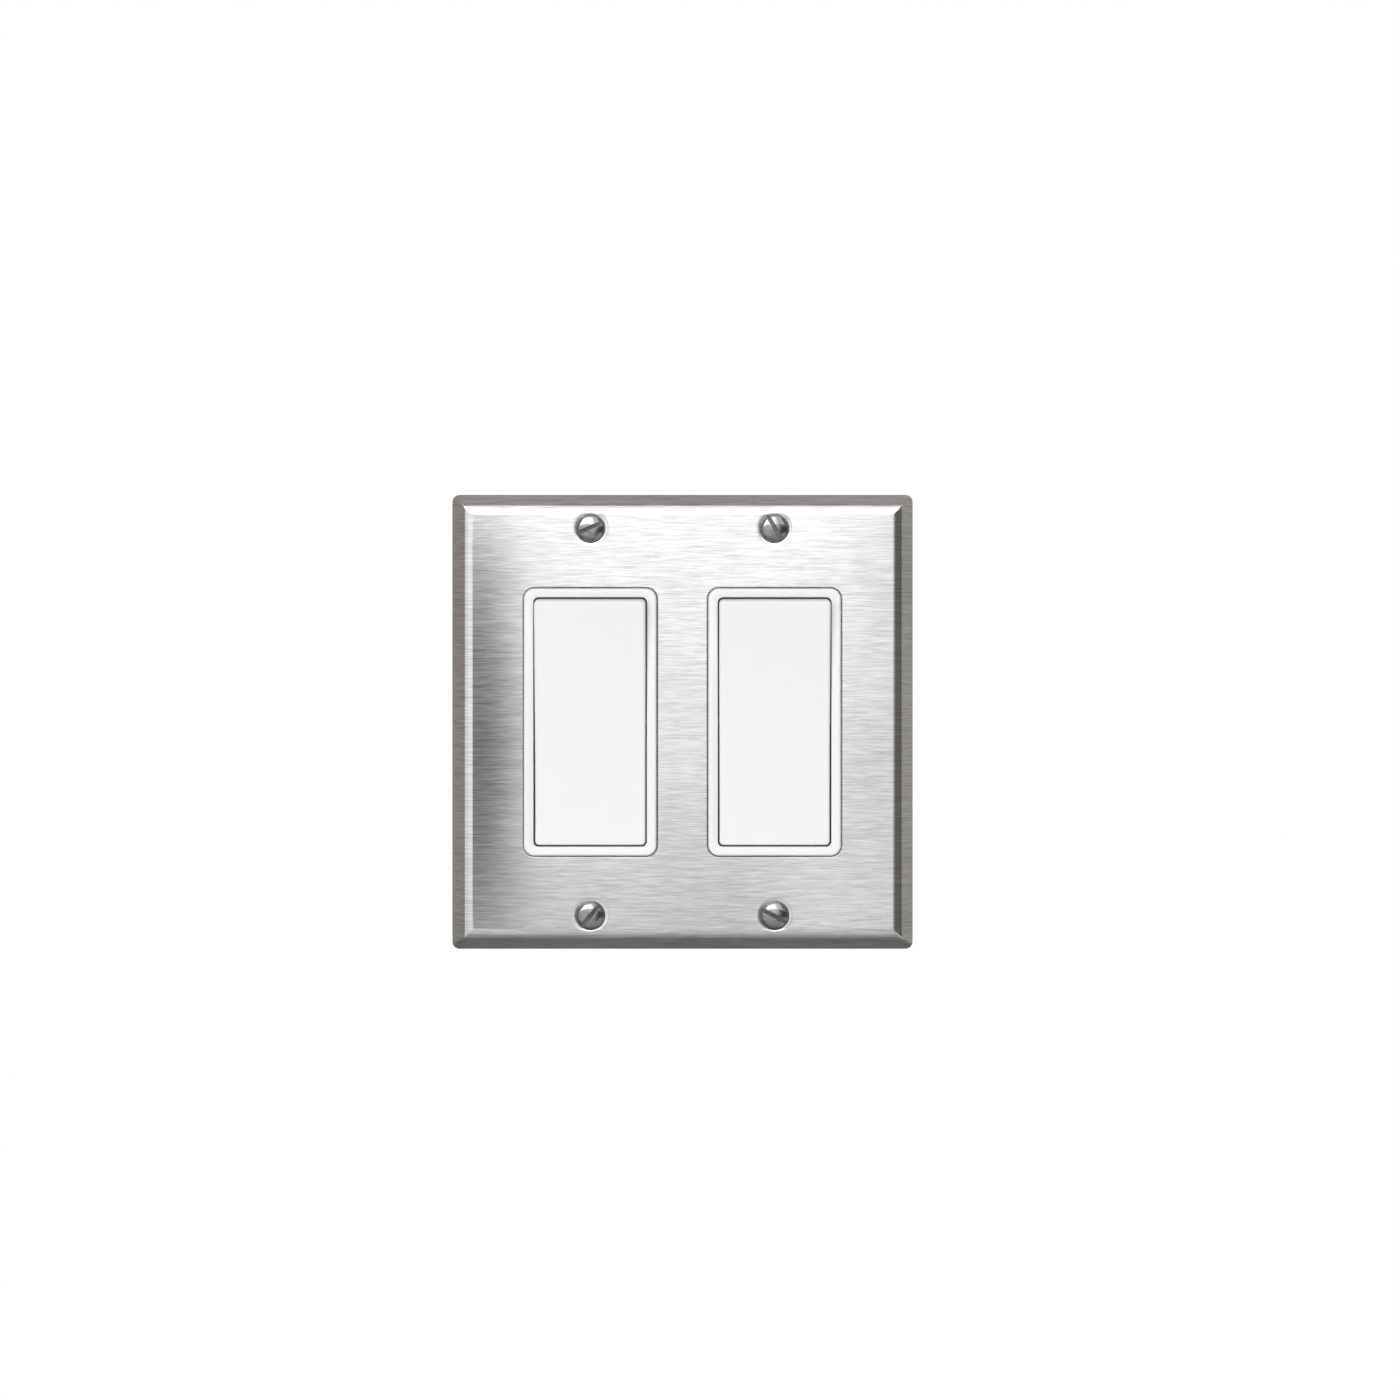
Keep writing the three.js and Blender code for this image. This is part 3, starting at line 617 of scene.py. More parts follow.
def slotted_screw(head, major, minor, length, slot_width, slot_floor_y):
    """A screw along +y with its head's rim at y = 0. head is (radius, y) points from the crown back.

    major and minor are the thread's radii. The slot's walls and floor have the second material, a darker
    steel that is partly painted shade.
    """
    step, tip_chamfer, edge_round, slack = 0.1, 0.25, 0.07, 0.01
    shank_start = head[-1][1] + step
    loops = [at_depth(circle(radius, SCREW_SIDES), y) for radius, y in head]
    loops.append(at_depth(circle(minor, SCREW_SIDES), shank_start))
    loops += thread(major, minor, shank_start + step, length - tip_chamfer)
    loops += [at_depth(circle(radius, SCREW_SIDES), length) for radius in (minor - tip_chamfer, 0)]
    bm = bmesh.new()
    skin(bm, loops)
    rim = max(radius for radius, _ in head)
    crown_y = head[0][1]
    half = slot_width / 2
    bm = cut(cleaned(bm), block((-rim - 1, rim + 1), (crown_y - 1, slot_floor_y), (-half, half)))
    bm = soften(bm, edge_round, where=lambda middle: middle.y < 0 and abs(middle.z) < half + 0.1)
    for face in bm.faces:
        middle = face.calc_center_median()
        in_slot = middle.y < 0 and abs(middle.z) < half + slack
        on_wall = abs(face.normal.z) > 0.9
        on_floor = middle.y > slot_floor_y - 2 * slack
        if in_slot and (on_wall or on_floor):
            face.material_index = 1
    return bm


def dome(radius, height, edge):
    """An oval crown of (radius, y) points, from the axis to a rim that stands edge clear of y = 0."""
    steps = 14
    angles = [math.pi / 2 * step / steps for step in range(steps + 1)]
    return [(radius * math.sin(angle), -edge - (height - edge) * math.cos(angle)) for angle in angles]


def plate_screw():
    head = dome(3.5, 1.4, edge=0.06) + [(3.5, 0.0), (3.42, 0.07), (1.7, 1.7)]
    return slotted_screw(head, 1.65, 1.3, length=11.4, slot_width=1.05, slot_floor_y=-0.5)


def box_screw():
    head = dome(3.55, 1.9, edge=0.35) + [(3.5, 0.0), (1.75, 0.0)]
    return slotted_screw(head, 1.7, 1.32, length=19, slot_width=1.0, slot_floor_y=-1.1)


def terminal_screw():
    head = dome(3.5, 2.1, edge=0.7) + [(3.45, 0.0), (1.8, 0.0)]
    return slotted_screw(head, 1.75, 1.38, length=4.6, slot_width=1.0, slot_floor_y=-1.2)


def ground_screw():
    """A washer-faced screw: a wide flange under a narrower crown."""
    flange = 0.7
    crown = [(radius, y - flange) for radius, y in dome(2.9, 1.3, edge=0.45)]
    head = crown + [(2.95, -flange), (3.7, -flange + 0.08), (3.8, -flange / 2), (3.72, 0.0), (1.8, 0.0)]
    return slotted_screw(head, 1.7, 1.34, length=4.8, slot_width=1.0, slot_floor_y=-1.15)


def add_plate_screws():
    for corner, turn_deg in SLOT_TURNS.items():
        x = GANG_X if corner.endswith("right") else -GANG_X
        z = PLATE_SCREW_Z if corner.startswith("top") else -PLATE_SCREW_Z
        turn = Matrix.Rotation(-math.radians(turn_deg), 4, "Y")
        place = Matrix.Translation((x, PLATE_FACE_Y - SCREW_LIFT, z)) @ turn
        stand_in(f"{corner}_plate_screw", plate_screw(), place)


# ---- Wall plate


def bevel_slope():
    """The bevel's slope, where it meets the shoulder's arc without a corner."""
    rise = -PLATE_FACE_Y - LIP
    slope = math.radians(50)
    for _ in range(8):
        slope = math.atan((rise - SHOULDER_RADIUS * (1 - math.cos(slope))) / BEVEL_WIDTH)
    return slope


def plate_loop(distance, y):
    """The plate's outline, that far in from its outer edge."""
    radius = max(0.3, PLATE_CORNER - distance)
    half_width, half_height = PLATE_HALF_WIDTH - distance, PLATE_HALF_HEIGHT - distance
    return at_depth(rounded_rectangle(half_width, half_height, radius, side_steps=(24, 24)), y)


def shoulder_loops(shift):
    """Loops from the end of the bevel to the flat face. shift moves them in and back by the sheet."""
    slope = bevel_slope()
    steps = 14
    loops = []
    for step in range(steps + 1):
        angle = slope * (1 - step / steps)
        distance = BEVEL_WIDTH + SHOULDER_RADIUS * (math.sin(slope) - math.sin(angle))
        y = PLATE_FACE_Y + SHOULDER_RADIUS * (1 - math.cos(angle))
        loops.append(plate_loop(distance + shift, y + shift))
    return loops


def opening_loops(x):
    """Loops from the front face round the opening's rolled edge to the sheet's back."""
    profile = arc((OPENING_ROLL, PLATE_FACE_Y + OPENING_ROLL), OPENING_ROLL, -90, -180, 4)
    profile.append((0, PLATE_FACE_Y + SHEET))
    return [
        at_depth(
            rounded_rectangle(
                OPENING_HALF_WIDTH + spread,
                OPENING_HALF_HEIGHT + spread,
                OPENING_CORNER + spread,
                side_steps=(12, 24),
                centre=(x, 0),
            ),
            y,
        )
        for spread, y in profile
    ]


def dimple(x, z):
    """The solid behind a screw's dimple, and the tool that hollows it from the front."""
    boss = [(0, 0.4), (4.4, 0.4), (4.4, 1.0), (2.6, 1.97), (0, 1.97)]
    hollow = [(0, -1), (5.6, -1), (5.6, -0.03), *DIMPLE, (2.0, 3), (0, 3)]
    place = Matrix.Translation((x, PLATE_FACE_Y, z))
    return [moved(turned(profile, 72), place) for profile in (boss, hollow)]


def wall_plate():
    bm = bmesh.new()
    inner_start = SHEET + (SHEET - LIP) / math.tan(bevel_slope())
    outside = skin(bm, [plate_loop(0, 0), plate_loop(0, -LIP), *shoulder_loops(0)])
    inside = skin(bm, [plate_loop(inner_start, 0), *shoulder_loops(SHEET)])
    holes = [skin(bm, opening_loops(x)) for x in SWITCHES.values()]
    fill(bm, outside[-1], *[hole[0] for hole in holes])
    fill(bm, inside[-1], *[hole[-1] for hole in holes])
    for i in range(len(outside[0])):
        bm.faces.new((outside[0][i - 1], outside[0][i], inside[0][i], inside[0][i - 1]))
    bm = cleaned(bm)
    for x in SWITCHES.values():
        for z in (PLATE_SCREW_Z, -PLATE_SCREW_Z):
            boss, hollow = dimple(x, z)
            bm = cut(join(bm, boss), hollow)
    return bm


# ---- Paddle


def rocker_face_y(z):
    """The dished face, with the paddle level and the pivot at y = 0."""
    return ROCKER_EDGE_Y + ROCKER_DISH * (1 - (z / ROCKER_DISH_REACH) ** 2)


def rocker_loop(inset, y_at, wall=0.0):
    """An outline of the paddle at the depth y_at(z). Its ends are round about the pivot.

    inset moves it in across the face, and wall moves it in from the outside to the inside.
    """
    end_y = y_at(ROCKER_END_RADIUS)
    half_height = math.sqrt((ROCKER_END_RADIUS - wall) ** 2 - end_y**2) - inset
    half_width = max(0.0, ROCKER_HALF_WIDTH - wall - inset)
    full_corner = ROCKER_CORNER if wall == 0 else ROCKER_INNER_CORNER
    corner = min(half_width, max(0.0, full_corner - inset))
    outline = rounded_rectangle(half_width, half_height, corner, 8, (16, 48))
    return [(x, y_at(z), z) for x, z in outline]


def rocker_shell():
    """The moulded shell: a skirt, a dished face with round edges, and a hollow back."""
    bm = bmesh.new()
    across = (1.0, 2.0, 4.0, 7.0, 10.5, ROCKER_HALF_WIDTH)  # insets of the loops across the face
    loops = [rocker_loop(0, lambda z, y=y: y) for y in (ROCKER_SKIRT_Y, -1.0, -3.0)]
    for u, v in arc((0, 0), ROCKER_EDGE_ROUND, 180, 90, 6):
        rise = ROCKER_EDGE_ROUND - v
        loops.append(rocker_loop(u + ROCKER_EDGE_ROUND, lambda z, rise=rise: rocker_face_y(z) + rise))
    loops += [rocker_loop(inset, rocker_face_y) for inset in across]
    back = [rocker_loop(0, lambda z: ROCKER_SKIRT_Y, ROCKER_SKIRT_WALL)]
    for inset in (0.0, *across[:-1], ROCKER_HALF_WIDTH):
        back.append(rocker_loop(inset, lambda z: rocker_face_y(z) + ROCKER_FACE_WALL, ROCKER_SKIRT_WALL))
    skin(bm, [*reversed(loops), *back])
    return cleaned(bm)


def rocker():
    """The shell with an ear and a pin on each side, crossed ribs, and a hollow post for the spring."""
    inside = ROCKER_HALF_WIDTH - ROCKER_SKIRT_WALL
    overlap = 0.02
    ear_back, ear_half = 2.0, 3
    rib_half, rib_reach, rib_back, rib_bite = 0.6, 15.6, 0.4, 0.4
    post, post_end, post_chamfer, bore, bore_front = 3.0, 12.0, 0.2, 2.3, -1.5
    bm = rocker_shell()
    for side in (-1, 1):
        near, wall = side * (inside - overlap), side * (ROCKER_HALF_WIDTH - overlap)
        ear = block(sorted((near, wall)), (0, ear_back), (-ear_half, ear_half))
        pin = rod(PIN_RADIUS, *sorted((near, side * PIN_END_X)), axis="x")
        bm = join(bm, soften(ear, 0.3), soften(pin, 0.2))
    rib_front = ROCKER_EDGE_Y + ROCKER_DISH + ROCKER_FACE_WALL / 2
    rib_ends = (-inside - rib_bite, inside + rib_bite)
    post_profile = [(0, rib_front), (post, rib_front), (post, post_end - post_chamfer)]
    post_profile += [(post - post_chamfer, post_end), (0, post_end)]
    bm = join(
        bm,
        block(rib_ends, (rib_front, rib_back), (-rib_half, rib_half)),
        block((-rib_half, rib_half), (rib_front, -rib_back), (-rib_reach, rib_reach)),
        turned(post_profile, 48),
    )
    return cut(bm, rod(bore, bore_front, post_end + 1))


def plunger():
    """A sliding pin with a spring seat and a round nose."""
    seat_start, seat_end, neck, tip = 6.5, 12.9, 13.6, 17.58
    head, stem, chamfer = 2.15, 1.3, 0.2
    seat = [(0, seat_start), (head - chamfer, seat_start), (head, seat_start + chamfer)]
    seat += [(head, seat_end - chamfer), (head - chamfer / 2, seat_end), (stem, neck)]
    nose = [(stem * math.cos(a), tip - stem + stem * math.sin(a)) for a in (0, 0.4, 0.8, 1.2)]
    return turned([*seat, *nose, (0, tip)], 40)


def snap_spring():
    """A plain helix of round wire, from the bottom of the post's bore to the plunger's seat."""
    wire, radius, turns, start_y, end_y = 0.27, 1.72, 5.5, -1.15, 6.1
    steps, sides = 150, 10
    along = Vector((0, 1, 0))
    loops = []
    for step in range(steps + 1):
        share = step / steps
        angle = share * turns * 2 * math.pi
        out = Vector((math.cos(angle), 0, math.sin(angle)))
        centre = out * radius + along * lerp(start_y, end_y, share)
        loops.append([centre + wire * (out * u + along * v) for u, v in circle(1, sides)])
    return lofted(loops)


def add_paddle(side, x):
    place = Matrix.Translation((x, PIVOT_Y, 0)) @ Matrix.Rotation(REST_TILT, 4, "X")
    stand_in(f"{side}_rocker", rocker(), place)
    stand_in(f"{side}_plunger", plunger(), place)
    stand_in(f"{side}_snap_spring", snap_spring(), place)


# ---- Face frame


def frame_loop(share, y):
    """A loop that share of the way from the frame's outer edge to its inner edge."""
    outline = rounded_rectangle(
        lerp(FRAME_HALF_WIDTH, FRAME_INNER_HALF_WIDTH, share),
        lerp(FRAME_HALF_HEIGHT, FRAME_INNER_HALF_HEIGHT, share),
        lerp(FRAME_CORNER, FRAME_INNER_CORNER, share),
        10,
        (8, 16),
    )
    return at_depth(outline, y)


def face_frame():
    """The surround, with a low crest, a face that falls gently inwards, and four snap legs behind."""
    width = FRAME_HALF_WIDTH - FRAME_INNER_HALF_WIDTH
    outer_round, inner_round, inner_front = 0.6, 0.25, -6.22
    outer = arc((outer_round, FRAME_FRONT_Y + outer_round), outer_round, -180, -90, 6)
    inner = arc((width - inner_round, inner_front + inner_round), inner_round, -90, 0, 4)
    crest = [(1.0, FRAME_FRONT_Y + 0.01), (1.5, FRAME_FRONT_Y + 0.12)]
    profile = [(0, FRAME_BACK_Y), *outer, *crest, *inner, (width, FRAME_BACK_Y)]
    bm = bmesh.new()
    skin(bm, [frame_loop(across / width, y) for across, y in profile], closed=True)
    bm = cleaned(bm)
    pin_slot, pin_slot_end = PIN_RADIUS + 0.1, PIN_END_X + 0.15
    slot = [(PIVOT_Y + u, v) for u, v in arc((0, 0), pin_slot, 90, 270, 12)]
    slot += [(0, -pin_slot), (0, pin_slot)]
    bm = cut(bm, prism(slot, -pin_slot_end, pin_slot_end, "x"))
    leg_in, leg_out, barb_x, leg_front, barb_front, leg_back = 14.8, 15.8, 16.4, -2, 3.95, 5.9
    leg = [(leg_in, leg_front), (leg_out, leg_front), (leg_out, barb_front)]
    leg += [(barb_x, barb_front), (leg_out, leg_back), (leg_in, leg_back)]
    for side in (-1, 1):
        outline = [(side * x, y) for x, y in leg]
        for up in (-1, 1):
            bm = join(bm, prism(outline, up * SNAP_Z - SNAP_HALF, up * SNAP_Z + SNAP_HALF, "z"))
    return bm


# ---- Strap


def filleted(points, radius, steps=5):
    """The outline with each corner rounded, inside and outside corners alike."""
    rounded = []
    for i, corner in enumerate(points):
        corner = Vector(corner)
        before = (Vector(points[i - 1]) - corner).normalized()
        after = (Vector(points[(i + 1) % len(points)]) - corner).normalized()
        half_angle = before.angle(after) / 2
        start = corner + before * radius / math.tan(half_angle)
        end = corner + after * radius / math.tan(half_angle)
        middle = corner + (before + after).normalized() * radius / math.sin(half_angle)
        from_middle, to_middle = start - middle, end - middle
        for step in range(steps + 1):
            rounded.append(tuple(middle + from_middle.slerp(to_middle, step / steps)))
    return rounded


def strap():
    """The mounting strap: ears that snap off, slots, tapped holes and a bent earthing tab."""
    half_width, half_height, tongue, ear, ear_start, end = 19, 36, 8, 16.5, 43.5, 52.8
    score_x, score_half, score_floor = 8.5, 0.25, -0.35
    ear_hole_x, ear_hole, tapped_hole = 12.25, 2.0, 1.78
    quarter = [(half_width, half_height), (tongue, half_height), (tongue, ear_start)]
    quarter += [(ear, ear_start), (ear, end)]
    top = quarter + [(-x, z) for x, z in reversed(quarter)]
    bottom = [(-x, -z) for x, z in top]
    bm = prism(filleted(top + bottom, 0.9), STRAP_FRONT_Y, 0)
    through = (STRAP_FRONT_Y - 1, 1)
    window = rounded_rectangle(WINDOW_HALF_WIDTH, WINDOW_HALF_HEIGHT, WINDOW_CORNER)
    bm = cut(bm, prism(window, *through))
    for up in (-1, 1):
        slot = rounded_rectangle(3.5, 1.95, 1.949, 8, centre=(0, up * BOX_SCREW_Z))
        notch = rounded_rectangle(16.1, SNAP_NOTCH_HALF, 0.4, 3, centre=(0, up * SNAP_Z))
        tapped = rod(tapped_hole, *through, (0, up * PLATE_SCREW_Z))
        bm = cut(bm, tapped, prism(slot, *through), prism(notch, *through))
        heights = sorted((up * (ear_start - 1), up * (end + 1)))
        for side in (-1, 1):
            middle = side * score_x
            score = block((middle - score_half, middle + score_half), (score_floor, 1), heights)
            bm = cut(bm, rod(ear_hole, *through, (side * ear_hole_x, up * PLATE_SCREW_Z)), score)
    return soften(join(cut(bm, tab_notch()), earthing_tab()), 0.12, 50)


def tab_notch():
    """Room in the strap's edge for the bend of the earthing tab."""
    return block((-20, -16.4), (STRAP_FRONT_Y - 1, 1), TAB_HEIGHTS)


def earthing_tab():
    """A tab that leaves the strap's left edge and turns back, with a hole for the ground screw."""
    root, outside, inside, end = -16.0, TAB_FACE_X, -17.8, 11
    outer_bend, inner_bend = 1.2, 0.3
    outer = arc((outside + outer_bend, 0), outer_bend, -90, -180, 8)
    inner = arc((inside + inner_bend, inner_bend), inner_bend, 180, 270, 4)
    outline = [(root, STRAP_FRONT_Y), *outer, (outside, end), (inside, end), *inner, (root, 0)]
    tab = prism(outline, *TAB_HEIGHTS, "z")
    return cut(tab, rod(1.8, -21, -16, (GROUND_Y, GROUND_Z), "x"))


# ---- Back body


def rounded_block(half_x, half_z, front_y, back_y, corner, front_round, back_round):
    """A moulded block with rounded upright corners and rounded front and back edges."""
    front = [(u + front_round, v) for u, v in arc((0, front_y + front_round), front_round, -90, -180, 3)]
    back = [(u + back_round, v) for u, v in arc((0, back_y - back_round), back_round, 180, 90, 6)]
    return lofted(
        [
            at_depth(rounded_rectangle(half_x - inset, half_z - inset, corner - inset, 8, (4, 8)), y)
            for inset, y in front + back
        ]
    )


def back_body():
    """The moulded housing.

    It has a working chamber with a stop for the contact arm, a hollow above and below that, a
    pocket and a window for each snap leg, and recesses, slots and screw holes for the terminals.
    """
    size = (BODY_HALF_WIDTH, BODY_HALF_HEIGHT, 0.05, BODY_BACK_Y)
    bm = rounded_block(*size, corner=2.5, front_round=0.2, back_round=1.1)
    play = 0.2
    mouth = rounded_rectangle(WINDOW_HALF_WIDTH - play, WINDOW_HALF_HEIGHT - play, WINDOW_CORNER)
    chamber = block((-8, 8), (0, CHAMBER_BACK_Y), (-14.6, 14.6))
    bm = cut(bm, prism(mouth, -1, 1.6), chamber)
    outside = BODY_HALF_WIDTH + 1
    leg_in, leg_out, window_front, window_back = 14.6, 16.0, 3.9, 6.2
    for up in (-1, 1):
        heights = (up * SNAP_Z - SNAP_NOTCH_HALF, up * SNAP_Z + SNAP_NOTCH_HALF)
        hollow = block((-11, 11), (0, CHAMBER_BACK_Y), sorted((up * 16.8, up * 28.6)))
        bm = cut(bm, hollow)
        for side in (-1, 1):
            pocket = block(sorted((side * leg_in, side * leg_out)), (-1, window_back), heights)
            window = block(sorted((side * leg_in, side * outside)), (window_front, window_back), heights)
            bm = cut(bm, pocket, window)
        recess = block((RECESS_FLOOR_X, outside), (5.5, 21.2), sorted((up * 1.2, up * 21)))
        screw_hole = rod(2.05, 9.2, outside, (TERMINAL_SCREW_Y, up * TERMINAL_SCREW_Z), "x")
        bm = cut(bm, recess, screw_hole)
    load_slot = block((0, outside), (17.35, 18.55), (-11.7, -5.9))
    common_slot = block((0, outside), (19.1, CHAMBER_BACK_Y), (-3.3, 5.5))
    ground_hole = rod(2.0, -outside, -12.5, (GROUND_Y, GROUND_Z), "x")
    stop = block((-3, 3), (15.6, CHAMBER_BACK_Y + 0.3), (6.8, 9.8))
    return join(cut(bm, load_slot, common_slot, ground_hole), stop)


def rear_details(bm):
    """Shallow wire holes, release slots and strip gauges, cut into the housing's back."""
    hole_floor, gauge_floor, past = BODY_BACK_Y - 1.8, BODY_BACK_Y - 0.4, BODY_BACK_Y + 1
    hole_x, hole_z, slot_z = 9.5, 22.5, 17.5
    for up in (-1, 1):
        for x in (-hole_x, hole_x):
            wire_hole = rod(1.45, hole_floor, past, (x, up * hole_z))
            release = rounded_rectangle(1.3, 0.75, 0.2, 3, centre=(x, up * slot_z))
            bm = cut(bm, wire_hole, prism(release, hole_floor, past))
    upright_gauge = rounded_rectangle(0.8, 6.5, 0.79, 6, centre=(0, -20))
    level_gauge = rounded_rectangle(6.5, 0.5, 0.49, 6, centre=(0, 24))
    return cut(bm, *[prism(gauge, gauge_floor, past) for gauge in (upright_gauge, level_gauge)])


# ---- One switch


def screw_washer():
    bm = prism(rounded_rectangle(4.6, 3.9, 1.2, 6), 0.05, 0.75)
    return soften(cut(bm, rod(1.74, -1, 2)), 0.08)


def add_switch(side, x):
    here = Matrix.Translation((x, 0, 0))
    add_paddle(side, x)
    stand_in(f"{side}_face_frame", face_frame(), here)
    stand_in(f"{side}_strap", strap(), here)
    stand_in(f"{side}_back_body", soften(rear_details(back_body()), 0.15, 60), here)
    for name, up in (("top", 1), ("bottom", -1)):
        hole = here @ Matrix.Translation((0, 0, up * BOX_SCREW_Z))
        seat = hole @ Matrix.Translation((0, STRAP_FRONT_Y - SCREW_LIFT, 0))
        turn = Matrix.Rotation(up * math.radians(30), 4, "Y")
        stand_in(f"{side}_{name}_box_screw", box_screw(), seat @ turn)
        stand_in(f"{side}_{name}_screw_washer", screw_washer(), hole)
    outwards = Matrix.Rotation(math.radians(90), 4, "Z")
    terminal_x = RECESS_FLOOR_X + TERMINAL_THICKNESS + SCREW_LIFT
    for name, up in (("common", 1), ("load", -1)):
        seat = Matrix.Translation((terminal_x, TERMINAL_SCREW_Y, up * TERMINAL_SCREW_Z))
        turn = Matrix.Rotation(up * math.radians(35), 4, "X")
        stand_in(f"{side}_{name}_screw", terminal_screw(), here @ seat @ turn @ outwards)
    seat = Matrix.Translation((TAB_FACE_X - SCREW_LIFT, GROUND_Y, GROUND_Z))
    turn = Matrix.Rotation(math.radians(-20), 4, "X")
    stand_in(f"{side}_ground_screw", ground_screw(), here @ seat @ turn @ outwards.inverted())
    for node in ("contact_arm", "moving_contact", "fixed_contact", "load_terminal", "common_terminal"):
        carry_over(f"{side}_{node}", 0.12)


# ---- Studio

CAMERA_PLACE = (0.0044, -0.6, 0.0055)
CAMERA_LENS = 61.2
SENSOR = 36.0

# The reflected cards stand round the front of the object like the sides of a box.
CARD_Y = -1.2
LEFT_X = -1.7
RIGHT_X = 1.4
FRONT_LEFT_X = -0.185
FRONT_RIGHT_X = 0.65
FRONT_LOW_Z = -0.6
FRONT_HIGH_Z = 0.5
UNDER_Z = -2.2
OVERHEAD_Z = 1.8


def add_camera():
    camera = add_object("camera", bpy.data.cameras.new("camera"))
    camera.data.sensor_width = SENSOR
    camera.data.lens = CAMERA_LENS
    camera.data.clip_start = 0.01
    camera.data.clip_end = 20
    camera.location = CAMERA_PLACE
    camera.rotation_euler = (math.radians(90), 0, 0)
    bpy.context.scene.camera = camera


def glow_material(name, strength):
    """Even light. strength is a number, or a function that returns a socket from the node tree."""
    material = bpy.data.materials.new(name)
    material.use_nodes = True
    tree = material.node_tree
    tree.nodes.clear()
    glow = tree.nodes.new("ShaderNodeEmission")
    output = tree.nodes.new("ShaderNodeOutputMaterial")
    if callable(strength):
        tree.links.new(strength(tree), glow.inputs["Strength"])
    else:
        glow.inputs["Strength"].default_value = strength
    tree.links.new(glow.outputs["Emission"], output.inputs["Surface"])
    return material


def distance_from(tree, place, centre, half_x, half_z):
    """How far a place is from a centre, where 1 is the edge of an oval in x and z."""
    mapping = tree.nodes.new("ShaderNodeMapping")
    mapping.vector_type = "TEXTURE"
    mapping.inputs["Location"].default_value = centre
    mapping.inputs["Scale"].default_value = (half_x, 10, half_z)
    length = tree.nodes.new("ShaderNodeVectorMath")
    length.operation = "LENGTH"
    tree.links.new(place, mapping.inputs["Vector"])
    tree.links.new(mapping.outputs["Vector"], length.inputs[0])
    return length.outputs["Value"]


def shaded(ramps, ovals=()):
    """A strength that is the product of soft ramps and soft ovals.

    A ramp is (axis, start, end, value, value). An oval is (centre, half x, half z, value inside).
    """

    def build(tree):
        place = tree.nodes.new("ShaderNodeTexCoord").outputs["Object"]
        split = tree.nodes.new("ShaderNodeSeparateXYZ")
        tree.links.new(place, split.inputs["Vector"])
        factors = [(split.outputs[axis], *numbers) for axis, *numbers in ramps]
        for centre, half_x, half_z, inside in ovals:
            distance = distance_from(tree, place, centre, half_x, half_z)
            factors.append((distance, 0.35, 1.5, inside, 1.0))
        product = None
        for value, *numbers in factors:
            source, factor = map_range(tree, *numbers, "SMOOTHSTEP")
            tree.links.new(value, source)
            if product is None:
                product = factor
                continue
            times = tree.nodes.new("ShaderNodeMath")
            times.operation = "MULTIPLY"
            tree.links.new(product, times.inputs[0])
            tree.links.new(factor, times.inputs[1])
            product = times.outputs["Value"]
        return product

    return build


def card(name, corners, strength):
    """A glowing card that is seen only in reflections."""
    mesh = bpy.data.meshes.new(name)
    mesh.from_pydata(corners, [], [(0, 1, 2, 3)])
    mesh.materials.append(glow_material(name + "_glow", strength))
    made = add_object(name, mesh)
    made.visible_camera = False
    made.visible_diffuse = False
    made.visible_shadow = False


def upright_card(name, x, z, strength, y=(CARD_Y, CARD_Y)):
    """A card between two heights, from (x[0], y[0]) to (x[1], y[1]) in plan."""
    ends = [(x[0], y[0]), (x[1], y[1])]
    corners = [(*ends[0], z[0]), (*ends[1], z[0]), (*ends[1], z[1]), (*ends[0], z[1])]
    card(name, corners, strength)


def level_card(name, x, y, z, strength):
    """A card across x, from (y[0], z[0]) to (y[1], z[1]) seen from the side."""
    corners = [(x[0], y[0], z[0]), (x[1], y[0], z[0]), (x[1], y[1], z[1]), (x[0], y[1], z[1])]
    card(name, corners, strength)


def area_light(name, place, width, height, power, colour=(1, 1, 1), in_reflections=True):
    """A rectangular light that faces the origin."""
    light = bpy.data.lights.new(name, "AREA")
    light.shape = "RECTANGLE"
    light.size = width
    light.size_y = height
    light.energy = power
    light.color = colour
    lamp = add_object(name, light)
    lamp.location = place
    lamp.rotation_euler = (-Vector(place)).to_track_quat("-Z", "Y").to_euler()
    lamp.visible_glossy = in_reflections


def add_world():
    """Soft warm grey all round, darker from below and a little darker from the left."""
    world = bpy.data.worlds.new("studio")
    bpy.context.scene.world = world
    world.use_nodes = True
    tree = world.node_tree
    place = tree.nodes.new("ShaderNodeTexCoord").outputs["Generated"]
    split = tree.nodes.new("ShaderNodeSeparateXYZ")
    tree.links.new(place, split.inputs["Vector"])
    background = tree.nodes["Background"]
    mix = tree.nodes.new("ShaderNodeMix")
    mix.data_type = "RGBA"
    below, above = [socket for socket in mix.inputs if socket.type == "RGBA"]
    below.default_value = (0.168, 0.164, 0.152, 1)
    above.default_value = (0.35, 0.33, 0.305, 1)
    mixed = next(socket for socket in mix.outputs if socket.type == "RGBA")
    tree.links.new(mixed, background.inputs["Color"])
    for axis, numbers, target in (
        ("Z", (-0.7, -0.1, 0.0, 1.0), mix.inputs["Factor"]),
        ("X", (-1.0, -0.4, 0.8, 1.0), background.inputs["Strength"]),
    ):
        source, result = map_range(tree, *numbers)
        tree.links.new(split.outputs[axis], source)
        tree.links.new(result, target)


